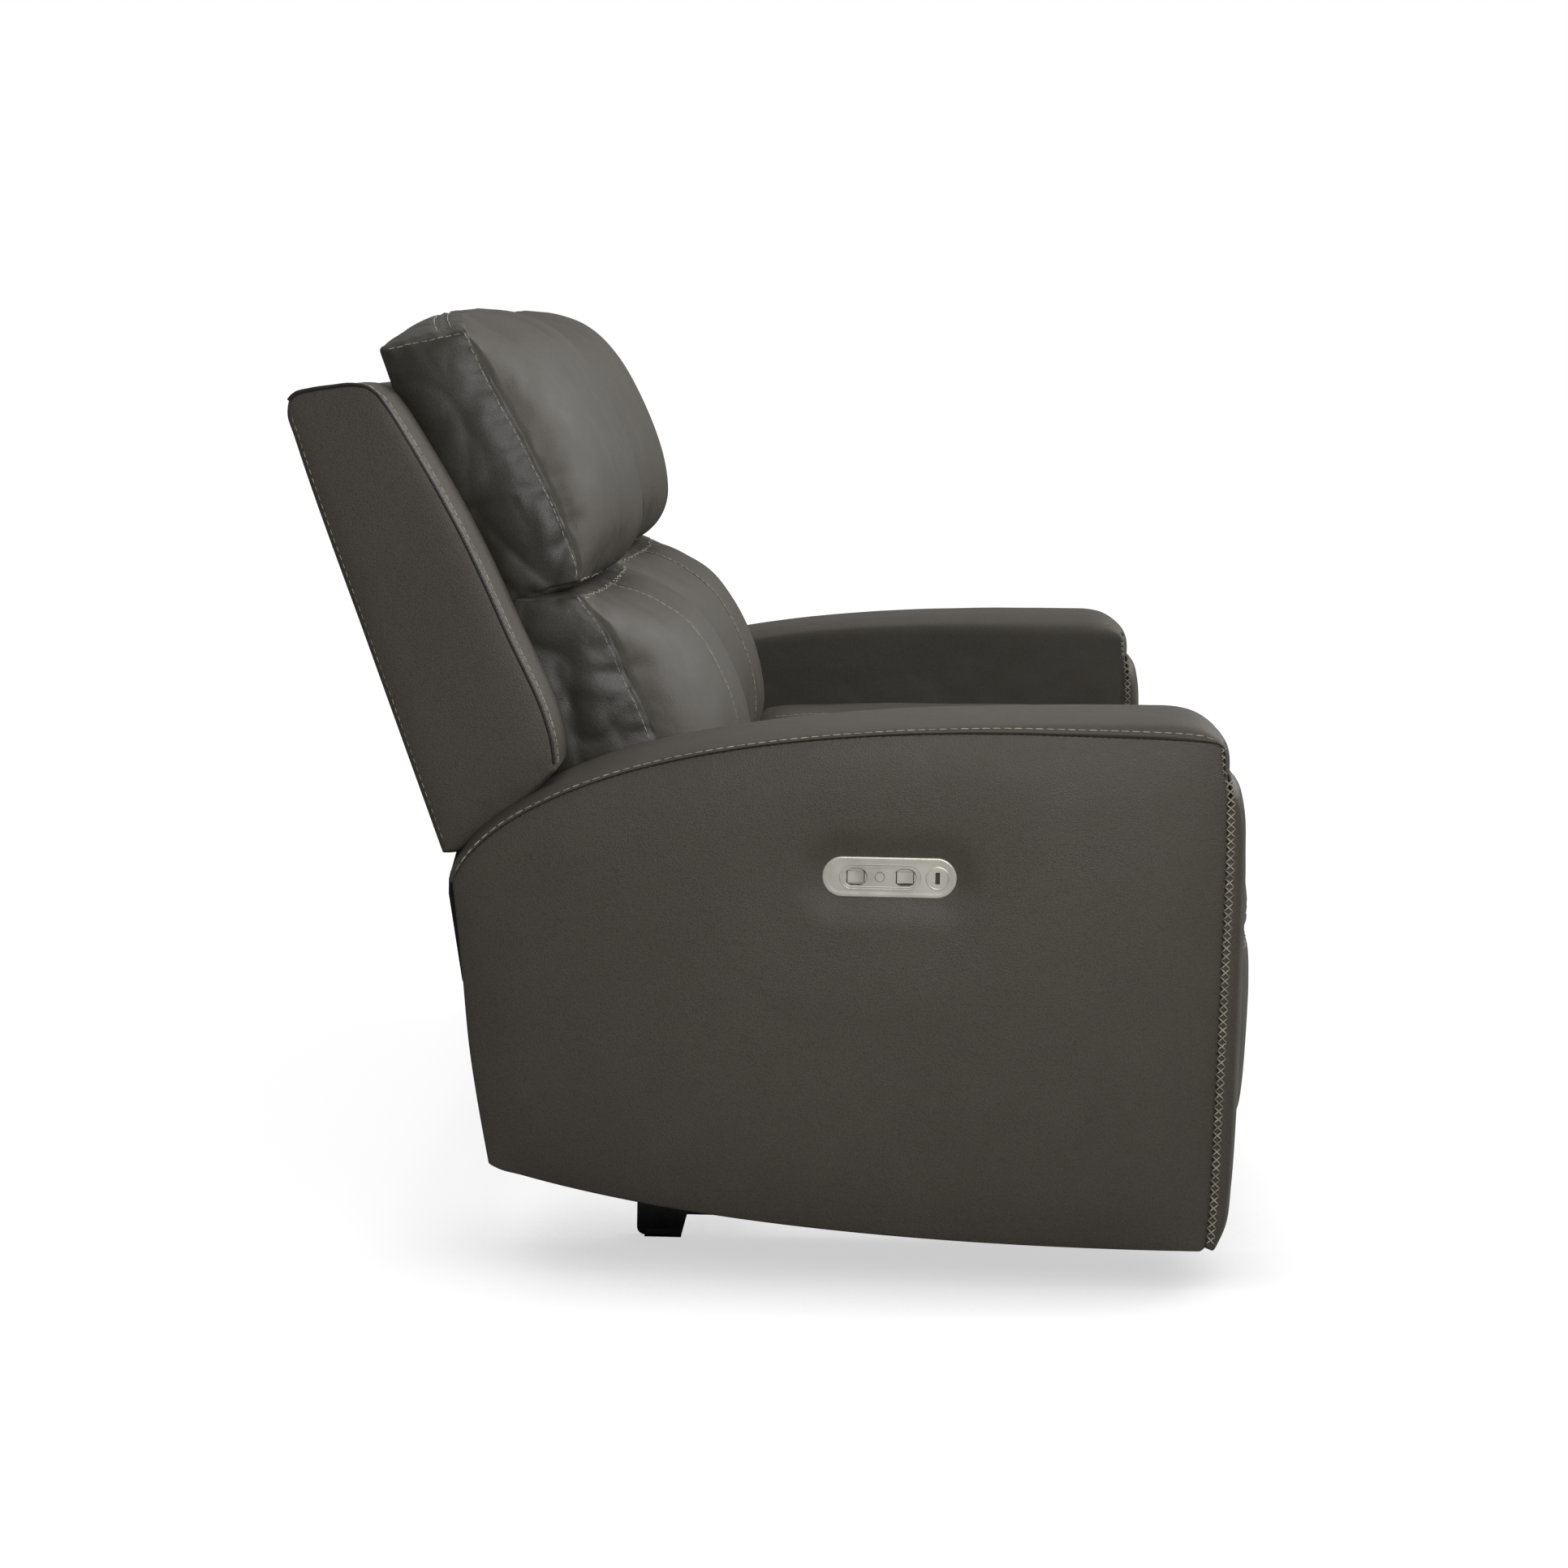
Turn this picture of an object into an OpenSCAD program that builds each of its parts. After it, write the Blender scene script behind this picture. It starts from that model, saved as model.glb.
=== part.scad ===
// Two-seat power reclining sofa.
// Frame: +X to the right of someone facing the front, -Y is the front, +Z is up.
// The origin is on the floor, in the middle of the width and of the depth.
// Each seat is written once, as the left one, and mirrored for the right.

/* [Overall] */
// Width over both arms, with the control panels
overall_w = 1600; // [1300:10:2000]
// Depth from the front of the footrests to the top of the back
overall_d = 1075; // [890:5:1300]
// Width of one arm
arm_w = 182; // [150:1:220]
// Height of the side seam at the front of an arm
arm_h = 602; // [500:1:730]
// Height of the seat cushion's crown
seat_h = 495; // [410:1:600]

/* [Arm] */
// How far the arm's front panel stands behind the footrest pads
arm_setback = 76.5; // [60:0.5:100]
// Height of the arm's underside at the front
arm_ground = 42; // [30:1:60]
// Height of the arm's underside at the rear
arm_rear_ground = 116; // [90:1:140]
// Height of the arm's rear top corner
arm_rear_h = 424; // [350:1:510]
// Rise of the padded cap above its side seams
cap_rise = 17; // [10:1:30]
// Bulge of the front pad past the front seams
pad_bulge = 26; // [10:1:30]
// Thickness of the padded leather cover's walls
cover_t = 12; // [8:1:16]
// Thickness of the arm's plywood boards
ply_t = 12; // [9:1:18]

/* [Back] */
// Lean of the back's rear face, in degrees from upright
back_lean = 20.4; // [12:0.1:26]
// Length of the back shell along its rear face
shell_len = 494; // [410:1:595]
// Width of the wing that stands over the arm
wing_w = 146; // [110:1:160]
// Thickness of the shell's padded rear wall
shell_wall = 30; // [20:1:35]
// Depth of the shell in front of its rear face, up to the inner board
shell_depth = 75; // [60:1:90]
// Thickness of the inner back board
board_t = 18; // [12:1:22]

/* [Seat] */
// Underside of the wooden seat rails
deck_z = 314; // [300:1:330]
// Height of the wooden seat rails
rail_h = 38; // [30:1:38]
// Thickness of the wooden seat rails
rail_t = 17.2; // [14:0.2:17.2]
// Springs under each seat
spring_n = 5; // [3:1:7]
// Side clearance between a seat and the arm
soft_gap = 4; // [3:0.5:6]
// Clearance between the two seats
centre_gap = 6; // [4:0.5:10]

/* [Mechanism] */
// Thickness of the steel plates and links
plate_t = 4; // [3:0.5:4]
// Running clearance between two plates
layer_gap = 0.6; // [0.5:0.1:0.8]
// Clearance between the arm and the outermost plate
mech_gap = 10; // [8:0.5:12]
// Width of a link bar
link_w = 18; // [14:1:20]
// Radius of a link pivot
rivet_r = 4; // [3:0.25:5]
// Radial running clearance of a pivot
pivot_gap = 0.05; // [0.02:0.01:0.08]
// Radius of the mechanism's cross tubes
tube_r = 11; // [9:0.5:13]
// Forward travel of a seat
travel_y = 70; // [50:1:84]
// Rise of a seat over its travel
travel_z = 40; // [33:1:48]
// Length of a swing link between its pivots
swing_len = 190; // [160:1:210]
// Length of the footrest's rear links between their end pivots
rear_link_len = 190; // [170:1:200]

/* [Controls] */
// Length of a control panel
panel_len = 142; // [135:1:150]
// Height of a control panel
panel_h = 43; // [38:1:48]
// Height of a control panel's centre
panel_z = 440; // [400:1:460]
// How far a control panel stands out from the arm
panel_proud = 3; // [2.5:0.1:4]

/* [Hidden] */
$fn = 48;
LEATHER = [0.27, 0.255, 0.23];
LEATHER_SMOOTH = [0.23, 0.215, 0.195];
BLACK_STEEL = [0.08, 0.08, 0.085];
GREY_STEEL = [0.45, 0.46, 0.47];
PLY = [0.76, 0.62, 0.43];
BLACK_PLASTIC = [0.05, 0.05, 0.055];
SATIN_SILVER = [0.74, 0.72, 0.68];
BLACK_CLOTH = [0.06, 0.06, 0.06];

// ---- places, worked out from the sizes above (y, z pairs lie in the side plane) ----
front_y = -overall_d / 2;
rear_y = overall_d / 2;
half_out = overall_w / 2 - panel_proud;             // outer face of an arm
half_in = half_out - arm_w;                         // inner face of an arm
seat_l = -half_in + soft_gap;                       // left seat's outer side
seat_r = -centre_gap / 2;                           // left seat's inner side
seat_mid = (seat_l + seat_r) / 2;
seat_w = seat_r - seat_l;
snug = 0.1;                                         // between two pieces that are fixed together
fit_gap = 0.3;                                      // between two pieces that fit loosely

function along(a) = [-cos(a), sin(a)];              // a: angle above straight ahead
function bez3(a, b, c, d, t) =
    pow(1 - t, 3) * a + 3 * t * pow(1 - t, 2) * b + 3 * t * t * (1 - t) * c + pow(t, 3) * d;
function curve3(a, b, c, d, n) = [for (i = [0:n]) bez3(a, b, c, d, i / n)];
function curve2(a, b, c, n) = curve3(a, a + (b - a) * 2 / 3, c + (b - c) * 2 / 3, c, n);
function arc(c, r, a0, a1, n) = [for (i = [0:n]) c + r * [cos(a0 + (a1 - a0) * i / n),
    sin(a0 + (a1 - a0) * i / n)]];
function heading(p, q) = atan2(q[1] - p[1], q[0] - p[0]);
function capsule(p, q, r) = concat(arc(q, r, heading(p, q) - 90, heading(p, q) + 90, 10),
    arc(p, r, heading(p, q) + 90, heading(p, q) + 270, 10));
function reversed(v) = [for (i = [len(v) - 1:-1:0]) v[i]];

// Layers of plates beside each seat, counted from the base's plates inwards
layer_pitch = plate_t + layer_gap;
function layer_x(n) = mech_gap + n * layer_pitch;   // from the seat bay's side
function layer_in(n) = layer_x(n) + plate_t;

// Arm outlines
arm_front_y = front_y + arm_setback;
arm_rear = [rear_y - 182.5, arm_rear_h];
arm_rear_foot = [rear_y - 229.5, arm_rear_ground];
arm_belly = [rear_y - 517.5, arm_ground - 4];
arm_flat_y = front_y + 237.5;                       // the seam is level in front of this
cap_lip = 44;                                       // how far the cap hangs down in front
cap_lip_t = 7;
arm_corner = 10;                                    // the cut corner that the cap rolls over
cloth_t = 1.5;
wall = cover_t + fit_gap;                           // from a cover's outside to the frame in it
post_t = 18;

// Along the arm's rear edge: up from one of its corners, and inset from it
rear_slope = (arm_rear[0] - arm_rear_foot[0]) / (arm_rear[1] - arm_rear_foot[1]);
function on_rear(corner, up, inset) = corner + [up * rear_slope - inset, up];

// The side seam from the rear top corner to the front; lift raises it towards the crown
function arm_top(lift, inset) = curve3(
    on_rear(arm_rear, lift * 0.25, inset),
    [rear_y - 202.5 - inset, arm_rear_h + 71 + lift * 0.6],
    [rear_y - 367.5 - inset * 0.6, arm_h + 11 + lift],
    [arm_flat_y, arm_h + lift], 16);
function arm_bottom(lift, inset) = curve2(
    [arm_front_y + inset, arm_ground + lift], arm_belly + [0, lift],
    on_rear(arm_rear_foot, lift, inset), 10);

// Back: s runs up the rear face and n forward from it
back_s = [sin(back_lean), cos(back_lean)];
back_n = [-cos(back_lean), sin(back_lean)];
crown_r = 16;                                       // the shell's round rear top corner
back_root = [
    rear_y - crown_r - shell_len * sin(back_lean) + crown_r * cos(back_lean),
    arm_rear_h + 21];
function back_pt(s, n) = back_root + s * back_s + n * back_n;
crown = back_pt(shell_len, crown_r);                // centre of that corner
top_z = crown[1] + crown_r;                         // the shell's top is level
function level_s(z, n) = (z - back_root[1] - n * sin(back_lean)) / cos(back_lean);
board_n = shell_depth + board_t;
cushion_n = board_n + 3;                            // rear of the lumbar cushion
side_wall = 15;
top_wall = 24;
board_low_s = -60;
board_high_s = level_s(top_z - top_wall, board_n) - snug;
wing_gap = 9;                                       // the wing's underside above the arm's cap

// Back hinge, with the stiles and the cloth apron below the shell
back_hinge = [rear_y - 297.5, deck_z - 82];
hinge_r = 6;
stile_w = layer_x(3) - layer_gap - soft_gap - fit_gap;
apron_low = back_root + [-11, -160];
stile_low = [apron_low[0] - 23.3, deck_z - 29];
apron_bulge = 12;

// Head hinge, with the pocket for it in the head cushion
head_hinge_s = 311;
head_hinge_n = shell_depth + 107;
head_hinge = back_pt(head_hinge_s, head_hinge_n);
head_hinge_r = 6;
head_low_r = 78;
head_n = cushion_n + 2;                             // rear of the head cushion
head_plate_n = head_n + 4;
head_plate_t = 3;
pocket_w = 230;
pocket_x = seat_mid - pocket_w / 2;
ear_t = 5;
ear_x = [pocket_x + 5, pocket_x + pocket_w - 5 - ear_t];
ear_w = 24;

// Swing links: parallel, and square to the seat's travel halfway through it
travel = [-travel_y, travel_z];
swing_lean = atan2(travel_z, travel_y);
swing_turn = 2 * asin(norm(travel) / 2 / swing_len);
swing_rest = swing_lean + swing_turn / 2;           // lean from upright, towards the rear
swing_feet = [[front_y + 237.5, 80], [rear_y - 507.5, 80]];
swing_arm = swing_len * [sin(swing_rest), cos(swing_rest)];
swing_tops = [for (p = swing_feet) p + swing_arm];
swing_bow = swing_len * (1 - cos(swing_turn / 2));  // how far the links' arc leaves the chord
swing_play = 0.2;

// Footrest links at rest
rear_link_angle = -95;
ottoman_pivot = [front_y + 207.5, deck_z - 24];
footrest_pivot = [front_y + 112.5, deck_z - 14];
link_foot = ottoman_pivot + rear_link_len * along(rear_link_angle);
front_link_angle = atan2(footrest_pivot[1] - link_foot[1], link_foot[0] - footrest_pivot[0]);
cross_up = 115;                                     // cross link, from its pivot to its front end
cross_tail = 35;                                    // and to its rear end
cross_pivot = ottoman_pivot + 85 * along(rear_link_angle);
cross_end = cross_pivot + cross_up * along(front_link_angle);
outer_pivot = link_foot + cross_up * along(front_link_angle);
outer_end = outer_pivot + 90 * along(rear_link_angle);
torque_pt = ottoman_pivot + 25 * along(rear_link_angle);

// Flap, in its outer links' own directions: s down from their top pivot, n forward
flap_low_s = 165;
flap_high_s = 16;
flap_n = 14;
flap_t = 40;
flap_lug = [26, 76];
flap_out = [along(rear_link_angle)[1], -along(rear_link_angle)[0]];
function flap_pt(s, n) = cross_end + s * along(rear_link_angle) + n * flap_out;

// Footrest, seat box and seat cushion
board_front = front_y + 70.5;
board_rear = board_front + ply_t;
footrest_low = 125;
footrest_top = deck_z + 34;
bracket_w = 85;
seat_front_y = front_y + 85.5;
seat_back_y = rear_y - 387.5;
front_rail_t = 22;
rail_x = layer_in(2) - rail_t;                      // from the seat bay's side
cushion_low = deck_z + rail_h;
cushion_rear = rear_y - 467.5;
spring_waves = 8;
spring_amp = 22;
spring_wire = 3.5;

// Lumbar cushion
lumbar_low_s = -88;
lumbar_top_s = 238;
lumbar_top = back_pt(lumbar_top_s, cushion_n)[1];

// Base
foot_l = 50;
foot_round = 9;
foot_taper = 6;
base_front_y = front_y + 130;
base_rear_y = rear_y - 375.5;
base_rail_low = 24;
base_rail_top = 62;
base_tubes = [[front_y + 287.5, 43], [rear_y - 457.5, 43]];
end_plate = [44, 105];
end_plate_drop = 14;
base_bolt_up = [57, 79];
bolt_r = 3;
bolt_head = 4;
rear_rail_t = 18;
rear_rail_h = 85;
rear_rail_y = arm_rear_foot[0] - rear_rail_t - 2;
rear_rail_z = 110;
supply = [140, 60, 46];
supply_z = rear_rail_z + 10;
inlet = [14, 16, 9];                                // depth, width, height
inlet_corner = [-supply[0] / 2, rear_rail_y - (supply[1] + inlet[1]) / 2, supply_z + 18];
inlet_pin = [1.2, 5];                               // radius, length

// Recline drive
tube_front = [front_y + 337.5, deck_z - 74];
tube_rear = [rear_y - 437.5, deck_z - 74];
drive_rail = [34, 24];
drive_rail_z = tube_front[1] - tube_r - snug - drive_rail[1];
drive_gear = [70, 60, 78];
motor_r = 23;
motor_l = 90;
drive_block_y = rear_y - 617.5;
drive_block_l = 44;
drive_wall = 8;

// Controls: places along Y from the panel's centre
panel_y = front_y + 428.5;
recline_y = 35.6;
headrest_y = -16.5;
home_y = 10.2;
usb_y = -50.8;
housing = [32, 126, 30];                             // depth, length, height of a control module
ring_rise = 0.8;
ring_y = 9.5;
ring_span = 30;
ring_r = 13.5;
usb_disc_r = 12.5;
usb = [11, 4.8, 12.4];
rocker = [17, 12];                                  // length along Y, height
rocker_hole = [3, 9];                               // half its straight length, radius
rocker_dish = 1.4;
rocker_axis_x = -half_out + 5;
rocker_pin = [1.5, 17];                             // radius, length
rocker_pocket = [10, 19.4, 12.6];
home_r = 4.8;
home_pocket = 9;

// ---- helpers ----
// A side outline, from x towards +X
module yz(x, t) {
    translate([x, 0, 0]) rotate([90, 0, 90]) linear_extrude(height = t) children();
}

// A rod along X
module rod(p, r, x0, x1) {
    translate([x0, p[0], p[1]]) rotate([0, 90, 0]) cylinder(r = r, h = x1 - x0);
}

// A piece of the left seat bay on its arm side, and again on its middle side
module both() {
    children();
    translate([-half_in, 0, 0]) mirror([1, 0, 0]) children();
}

// The same piece for the right seat or arm
module right() {
    mirror([1, 0, 0]) children();
}

// A plate in layer n, and a hole through it
module layer(n) {
    yz(-half_in + layer_x(n), plate_t) children();
}

module layer_hole(n, p, r) {
    rod(p, r, -half_in + layer_x(n) - 1, -half_in + layer_in(n) + 1);
}

// A pin through layers n0 to n1, with a head at either end where it is asked for
module rivet(p, n0, n1, r = rivet_r, head_out = false, head_in = false) {
    head = 2;
    x0 = -half_in + layer_x(n0);
    x1 = -half_in + layer_in(n1);
    rod(p, r, x0 - (head_out ? head : 0), x1 + (head_in ? head : 0));
    if (head_out) rod(p, r * 1.7, x0 - head, x0);
    if (head_in) rod(p, r * 1.7, x1, x1 + head);
}

// A link bar in layer n with round ends
module bar(n, p, q) {
    layer(n) polygon(capsule(p, q, link_w / 2));
}

// ---- arms ----
// An arm's side outline with its top and bottom edges moved, its rear edge inset and its front at a place
module arm_profile(top_lift, bottom_lift, inset, front) {
    polygon(concat(arm_top(top_lift, inset),
        [[front + arm_corner, arm_h + top_lift], [front, arm_h + top_lift - arm_corner],
        [front, arm_ground + bottom_lift]],
        arm_bottom(bottom_lift, inset)));
}

// The cut for a control module, from x on
module panel_cut(x, t) {
    translate([x, panel_y - housing[1] / 2, panel_z - housing[2] / 2]) cube([t, housing[1], housing[2]]);
}

// The holes for the base's bolts in a wall, from x on
module bolt_holes(x, t) {
    for (p = base_tubes, up = base_bolt_up) rod(p + [0, up], bolt_r + pivot_gap, x, x + t);
}

// Plywood arm: two side boards with two posts, a lower rail and a bent top board between them
module arm_frame() {
    x0 = -half_out + wall;
    x1 = -half_in - wall - ply_t;
    front = arm_front_y + wall;
    inner_x = x0 + ply_t + snug;
    inner_w = x1 - snug - inner_x;
    post_low = arm_ground + cloth_t + 10;
    rear_post_y = arm_rear_foot[0] - wall - post_t;
    rear_post_low = arm_rear_ground + cloth_t + 8;
    color(PLY) {
        difference() {
            union() {
                for (x = [x0, x1]) yz(x, ply_t)
                    arm_profile(-ply_t - snug, cloth_t + snug, wall, front);
            }
            panel_cut(x0 - 1, ply_t + 2);
            bolt_holes(x1 - 1, ply_t + 2);
        }
        translate([inner_x, front, post_low]) cube([inner_w, post_t, arm_h - 2 * ply_t - post_low]);
        translate([inner_x, rear_post_y, rear_post_low])
            cube([inner_w, post_t, arm_rear_h - ply_t - rear_post_low]);
        translate([inner_x, front + post_t + snug, post_low])
            cube([inner_w, arm_flat_y - front - post_t, post_t]);
        yz(x0, x1 + ply_t - x0) intersection() {
            difference() {
                arm_profile(-fit_gap, 0, wall, front);
                arm_profile(-ply_t, -1, -1, front - 1);
            }
            translate([front, arm_rear_h]) square([overall_d, arm_h]);
        }
    }
}

// Sewn cover: outer, inner, front and rear walls in one, with the padded front panel
module arm_cover() {
    pad_side = 4;
    notch = arm_h - cap_lip;
    color(LEATHER) difference() {
        union() {
            yz(-half_out, arm_w) arm_profile(0, 0, 0, arm_front_y);
            yz(-half_out + pad_side, arm_w - 2 * pad_side) polygon([
                [arm_front_y + 1, notch - 1], [arm_front_y - 9, notch - 1],
                [arm_front_y - 22, notch - 34], [arm_front_y - pad_bulge, notch - 140],
                [arm_front_y - pad_bulge, arm_ground + 140], [arm_front_y - pad_bulge + 3, arm_ground + 70],
                [arm_front_y - 12, arm_ground - 8], [arm_front_y + 1, arm_ground]]);
        }
        yz(-half_out + cover_t, arm_w - 2 * cover_t)
            arm_profile(cap_rise, -cap_rise, cover_t, arm_front_y + cover_t);
        panel_cut(-half_out - 1, cover_t + 2);
        bolt_holes(-half_in - cover_t - 1, cover_t + 2);
    }
}

// Padded cap between an arm's two side seams; it rolls down over the front
module arm_cap() {
    color(LEATHER_SMOOTH) yz(-half_out, arm_w) polygon(concat(
        arm_top(0.1, 0),
        [[arm_front_y + arm_corner, arm_h + 0.1], [arm_front_y - snug, arm_h - arm_corner],
        [arm_front_y - snug, arm_h - cap_lip],
        [arm_front_y - cap_lip_t, arm_h - cap_lip], [arm_front_y - cap_lip_t + 1, arm_h - 13],
        [arm_front_y + 5, arm_h + 1], [arm_front_y + 21, arm_h + cap_rise]],
        reversed(arm_top(cap_rise, 0))));
}

// Black cloth that closes an arm's underside
module arm_dust_cover() {
    inset = cover_t + snug;
    color(BLACK_CLOTH) yz(-half_out + inset, arm_w - 2 * inset) polygon(concat(
        arm_bottom(0, inset), reversed(arm_bottom(cloth_t, inset))));
}

// ---- base ----
// Side plate with two feet, an ear for each swing link and flanges turned towards the bay's side
module base_plate() {
    flange_x = -half_in + fit_gap;
    flange_w = mech_gap - fit_gap + 1;
    difference() {
        union() {
            layer(0) polygon(concat(
                arc([base_rear_y - foot_round, foot_round], foot_round, -90, 0, 6),
                [[base_rear_y, base_rail_top], [base_front_y, base_rail_top]],
                arc([base_front_y + foot_round, foot_round], foot_round, 180, 270, 6),
                [[base_front_y + foot_l, 0], [base_front_y + foot_l + foot_taper, base_rail_low],
                [base_rear_y - foot_l - foot_taper, base_rail_low], [base_rear_y - foot_l, 0]]));
            for (p = swing_feet) layer(0)
                polygon(capsule([p[0], base_rail_top - link_w], p, link_w * 0.8));
            for (y = [base_front_y + foot_round, base_rear_y - foot_l])
                translate([flange_x, y, 0]) cube([flange_w, foot_l - foot_round, plate_t]);
        }
        for (p = swing_feet) layer_hole(0, p, rivet_r + pivot_gap);
        for (p = base_tubes) layer_hole(0, p, tube_r + snug);
    }
}

// Four side plates on two cross tubes, with a plate at each tube's end that is bolted to an arm
module mechanism_base() {
    color(BLACK_STEEL) {
        both() base_plate();
        right() both() base_plate();
        for (p = base_tubes) {
            rod(p, tube_r, -half_in + plate_t + snug, half_in - plate_t - snug);
            for (side = [0, 1]) mirror([side, 0, 0]) difference() {
                translate([-half_in, p[0] - end_plate[0] / 2, p[1] - end_plate_drop])
                    cube([plate_t, end_plate[0], end_plate[1]]);
                bolt_holes(-half_in - 1, plate_t + 2);
            }
        }
    }
}

module base_bolts() {
    inner = wall + ply_t + 2;
    color(GREY_STEEL) for (side = [0, 1], p = base_tubes, up = base_bolt_up) mirror([side, 0, 0]) {
        rod(p + [0, up], bolt_r, -half_in - inner, -half_in + plate_t);
        translate([-half_in + plate_t, p[0], p[1] + up]) rotate([0, 90, 0])
            cylinder(r = bolt_r * 1.9, h = bolt_head, $fn = 6);
    }
}

module rear_rail() {
    color(PLY) translate([-half_in + snug, rear_rail_y, rear_rail_z])
        cube([2 * (half_in - snug), rear_rail_t, rear_rail_h]);
}

// Power supply in front of the rear rail, with the mains inlet in its left end
module power_supply() {
    color(BLACK_PLASTIC) difference() {
        translate([-supply[0] / 2, rear_rail_y - snug - supply[1], supply_z]) cube(supply);
        translate(inlet_corner - [1, 0, 0]) cube([inlet[0] + 1, inlet[1], inlet[2]]);
    }
    color(GREY_STEEL) for (side = [-1, 1])
        translate(inlet_corner + [inlet[0] - inlet_pin[1], inlet[1] / 2 + side * 4.3, inlet[2] / 2])
            rotate([0, 90, 0]) cylinder(r = inlet_pin[0], h = inlet_pin[1] - snug);
}

// ---- controls on the left arm's outer side ----
// Bezel: a stadium plate, a raised ring around the buttons and a raised disc around the socket
module control_bezel() {
    face_x = -half_out - panel_proud;
    plate_x = face_x + ring_rise;
    span = (panel_len - panel_h) / 2;
    ring_a = [panel_y + ring_y - ring_span, panel_z];
    ring_b = [panel_y + ring_y + ring_span, panel_z];
    difference() {
        union() {
            yz(plate_x, -half_out - snug - plate_x)
                polygon(capsule([panel_y - span, panel_z], [panel_y + span, panel_z], panel_h / 2));
            yz(face_x, ring_rise) difference() {
                polygon(capsule(ring_a, ring_b, ring_r));
                polygon(capsule(ring_a, ring_b, ring_r - 1.5));
            }
            rod([panel_y + usb_y, panel_z], usb_disc_r, face_x, -half_out - snug);
        }
        for (y = [recline_y, headrest_y]) yz(face_x - 1, panel_proud + 2)
            polygon(capsule([panel_y + y - rocker_hole[0], panel_z],
                [panel_y + y + rocker_hole[0], panel_z], rocker_hole[1]));
        rod([panel_y + home_y, panel_z], home_r + fit_gap, face_x - 1, -half_out + 1);
        translate([face_x - 1, panel_y + usb_y - usb[1] / 2, panel_z - usb[2] / 2])
            cube([panel_proud + 2, usb[1], usb[2]]);
    }
}

// Switch housing behind the bezel: a pocket for each button, and the charging socket
module control_module() {
    difference() {
        translate([-half_out, panel_y - housing[1] / 2 + fit_gap, panel_z - housing[2] / 2 + fit_gap])
            cube([housing[0], housing[1] - 2 * fit_gap, housing[2] - 2 * fit_gap]);
        for (y = [recline_y, headrest_y]) {
            translate([-half_out - 1, panel_y + y - rocker_pocket[1] / 2, panel_z - rocker_pocket[2] / 2])
                cube(rocker_pocket + [1, 0, 0]);
            translate([rocker_axis_x, panel_y + y, panel_z - rocker_pin[1] / 2 - fit_gap])
                cylinder(r = rocker_pin[0] + pivot_gap, h = rocker_pin[1] + 2 * fit_gap);
        }
        rod([panel_y + home_y, panel_z], home_r + fit_gap, -half_out - 1, -half_out + home_pocket);
        translate([-half_out - 1, panel_y + usb_y - usb[1] / 2, panel_z - usb[2] / 2])
            cube([usb[0] + 1, usb[1], usb[2]]);
    }
}

// A rocker that tips about an upright pin, with a dished face
module rocker_switch(y) {
    face = -half_out - panel_proud + 0.6;
    half = rocker[0] / 2;
    color(SATIN_SILVER) {
        translate([0, panel_y + y, panel_z - rocker[1] / 2]) linear_extrude(height = rocker[1])
            polygon(concat([[rocker_axis_x + 3, -2.5], [rocker_axis_x + 3, 2.5], [face + 4, half]],
                [for (i = [6:-1:-6]) [face + rocker_dish * (1 - pow(i / 6, 2)), i / 6 * half]],
                [[face + 4, -half]]));
        translate([rocker_axis_x, panel_y + y, panel_z - rocker_pin[1] / 2])
            cylinder(r = rocker_pin[0], h = rocker_pin[1]);
    }
}

module home_button() {
    color(SATIN_SILVER)
        rod([panel_y + home_y, panel_z], home_r, -half_out - panel_proud + 0.3, -half_out + 6);
}

// ---- seat carriage, for the left seat ----
// Side plates, each with a flange under its seat rail and a short slot for each swing link's pin
module carriage_plates() {
    bow = swing_bow + swing_play;
    low_z = ottoman_pivot[1] - 10;
    rear_end = seat_back_y - snug;
    slot_r = rivet_r + swing_play;
    color(BLACK_STEEL) {
        both() difference() {
            union() {
                layer(2) polygon([
                    [ottoman_pivot[0] - 15, deck_z - snug], [ottoman_pivot[0] - 15, low_z],
                    swing_tops[0] + [-27, -15], swing_tops[1] + [28, -15],
                    back_hinge + [17, -13], back_hinge + [22, 10],
                    back_hinge + [6, 30], [rear_end, deck_z - snug]]);
                translate([-half_in + rail_x, ottoman_pivot[0], deck_z - snug - 3])
                    cube([rail_t, rear_end - ottoman_pivot[0], 3]);
            }
            layer_hole(2, ottoman_pivot, rivet_r + pivot_gap);
            layer_hole(2, back_hinge, hinge_r + pivot_gap);
            for (p = swing_tops)
                yz(-half_in + layer_x(2) - 1, plate_t + 2)
                    polygon(capsule(p, p + bow * [sin(swing_lean), cos(swing_lean)], slot_r));
        }
        for (p = [tube_front, tube_rear])
            rod(p, tube_r, -half_in + layer_in(2) + snug, -layer_in(2) - snug);
    }
}

// Seat box: two side rails, with a front and a rear rail between them
module seat_rails() {
    inner_x = rail_x + rail_t + snug;
    color(PLY) {
        both() translate([-half_in + rail_x, seat_front_y, deck_z])
            cube([rail_t, seat_back_y - seat_front_y, rail_h]);
        for (y = [seat_front_y, seat_back_y - front_rail_t])
            translate([-half_in + inner_x, y, deck_z])
                cube([half_in - 2 * inner_x, front_rail_t, rail_h]);
    }
}

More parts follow.
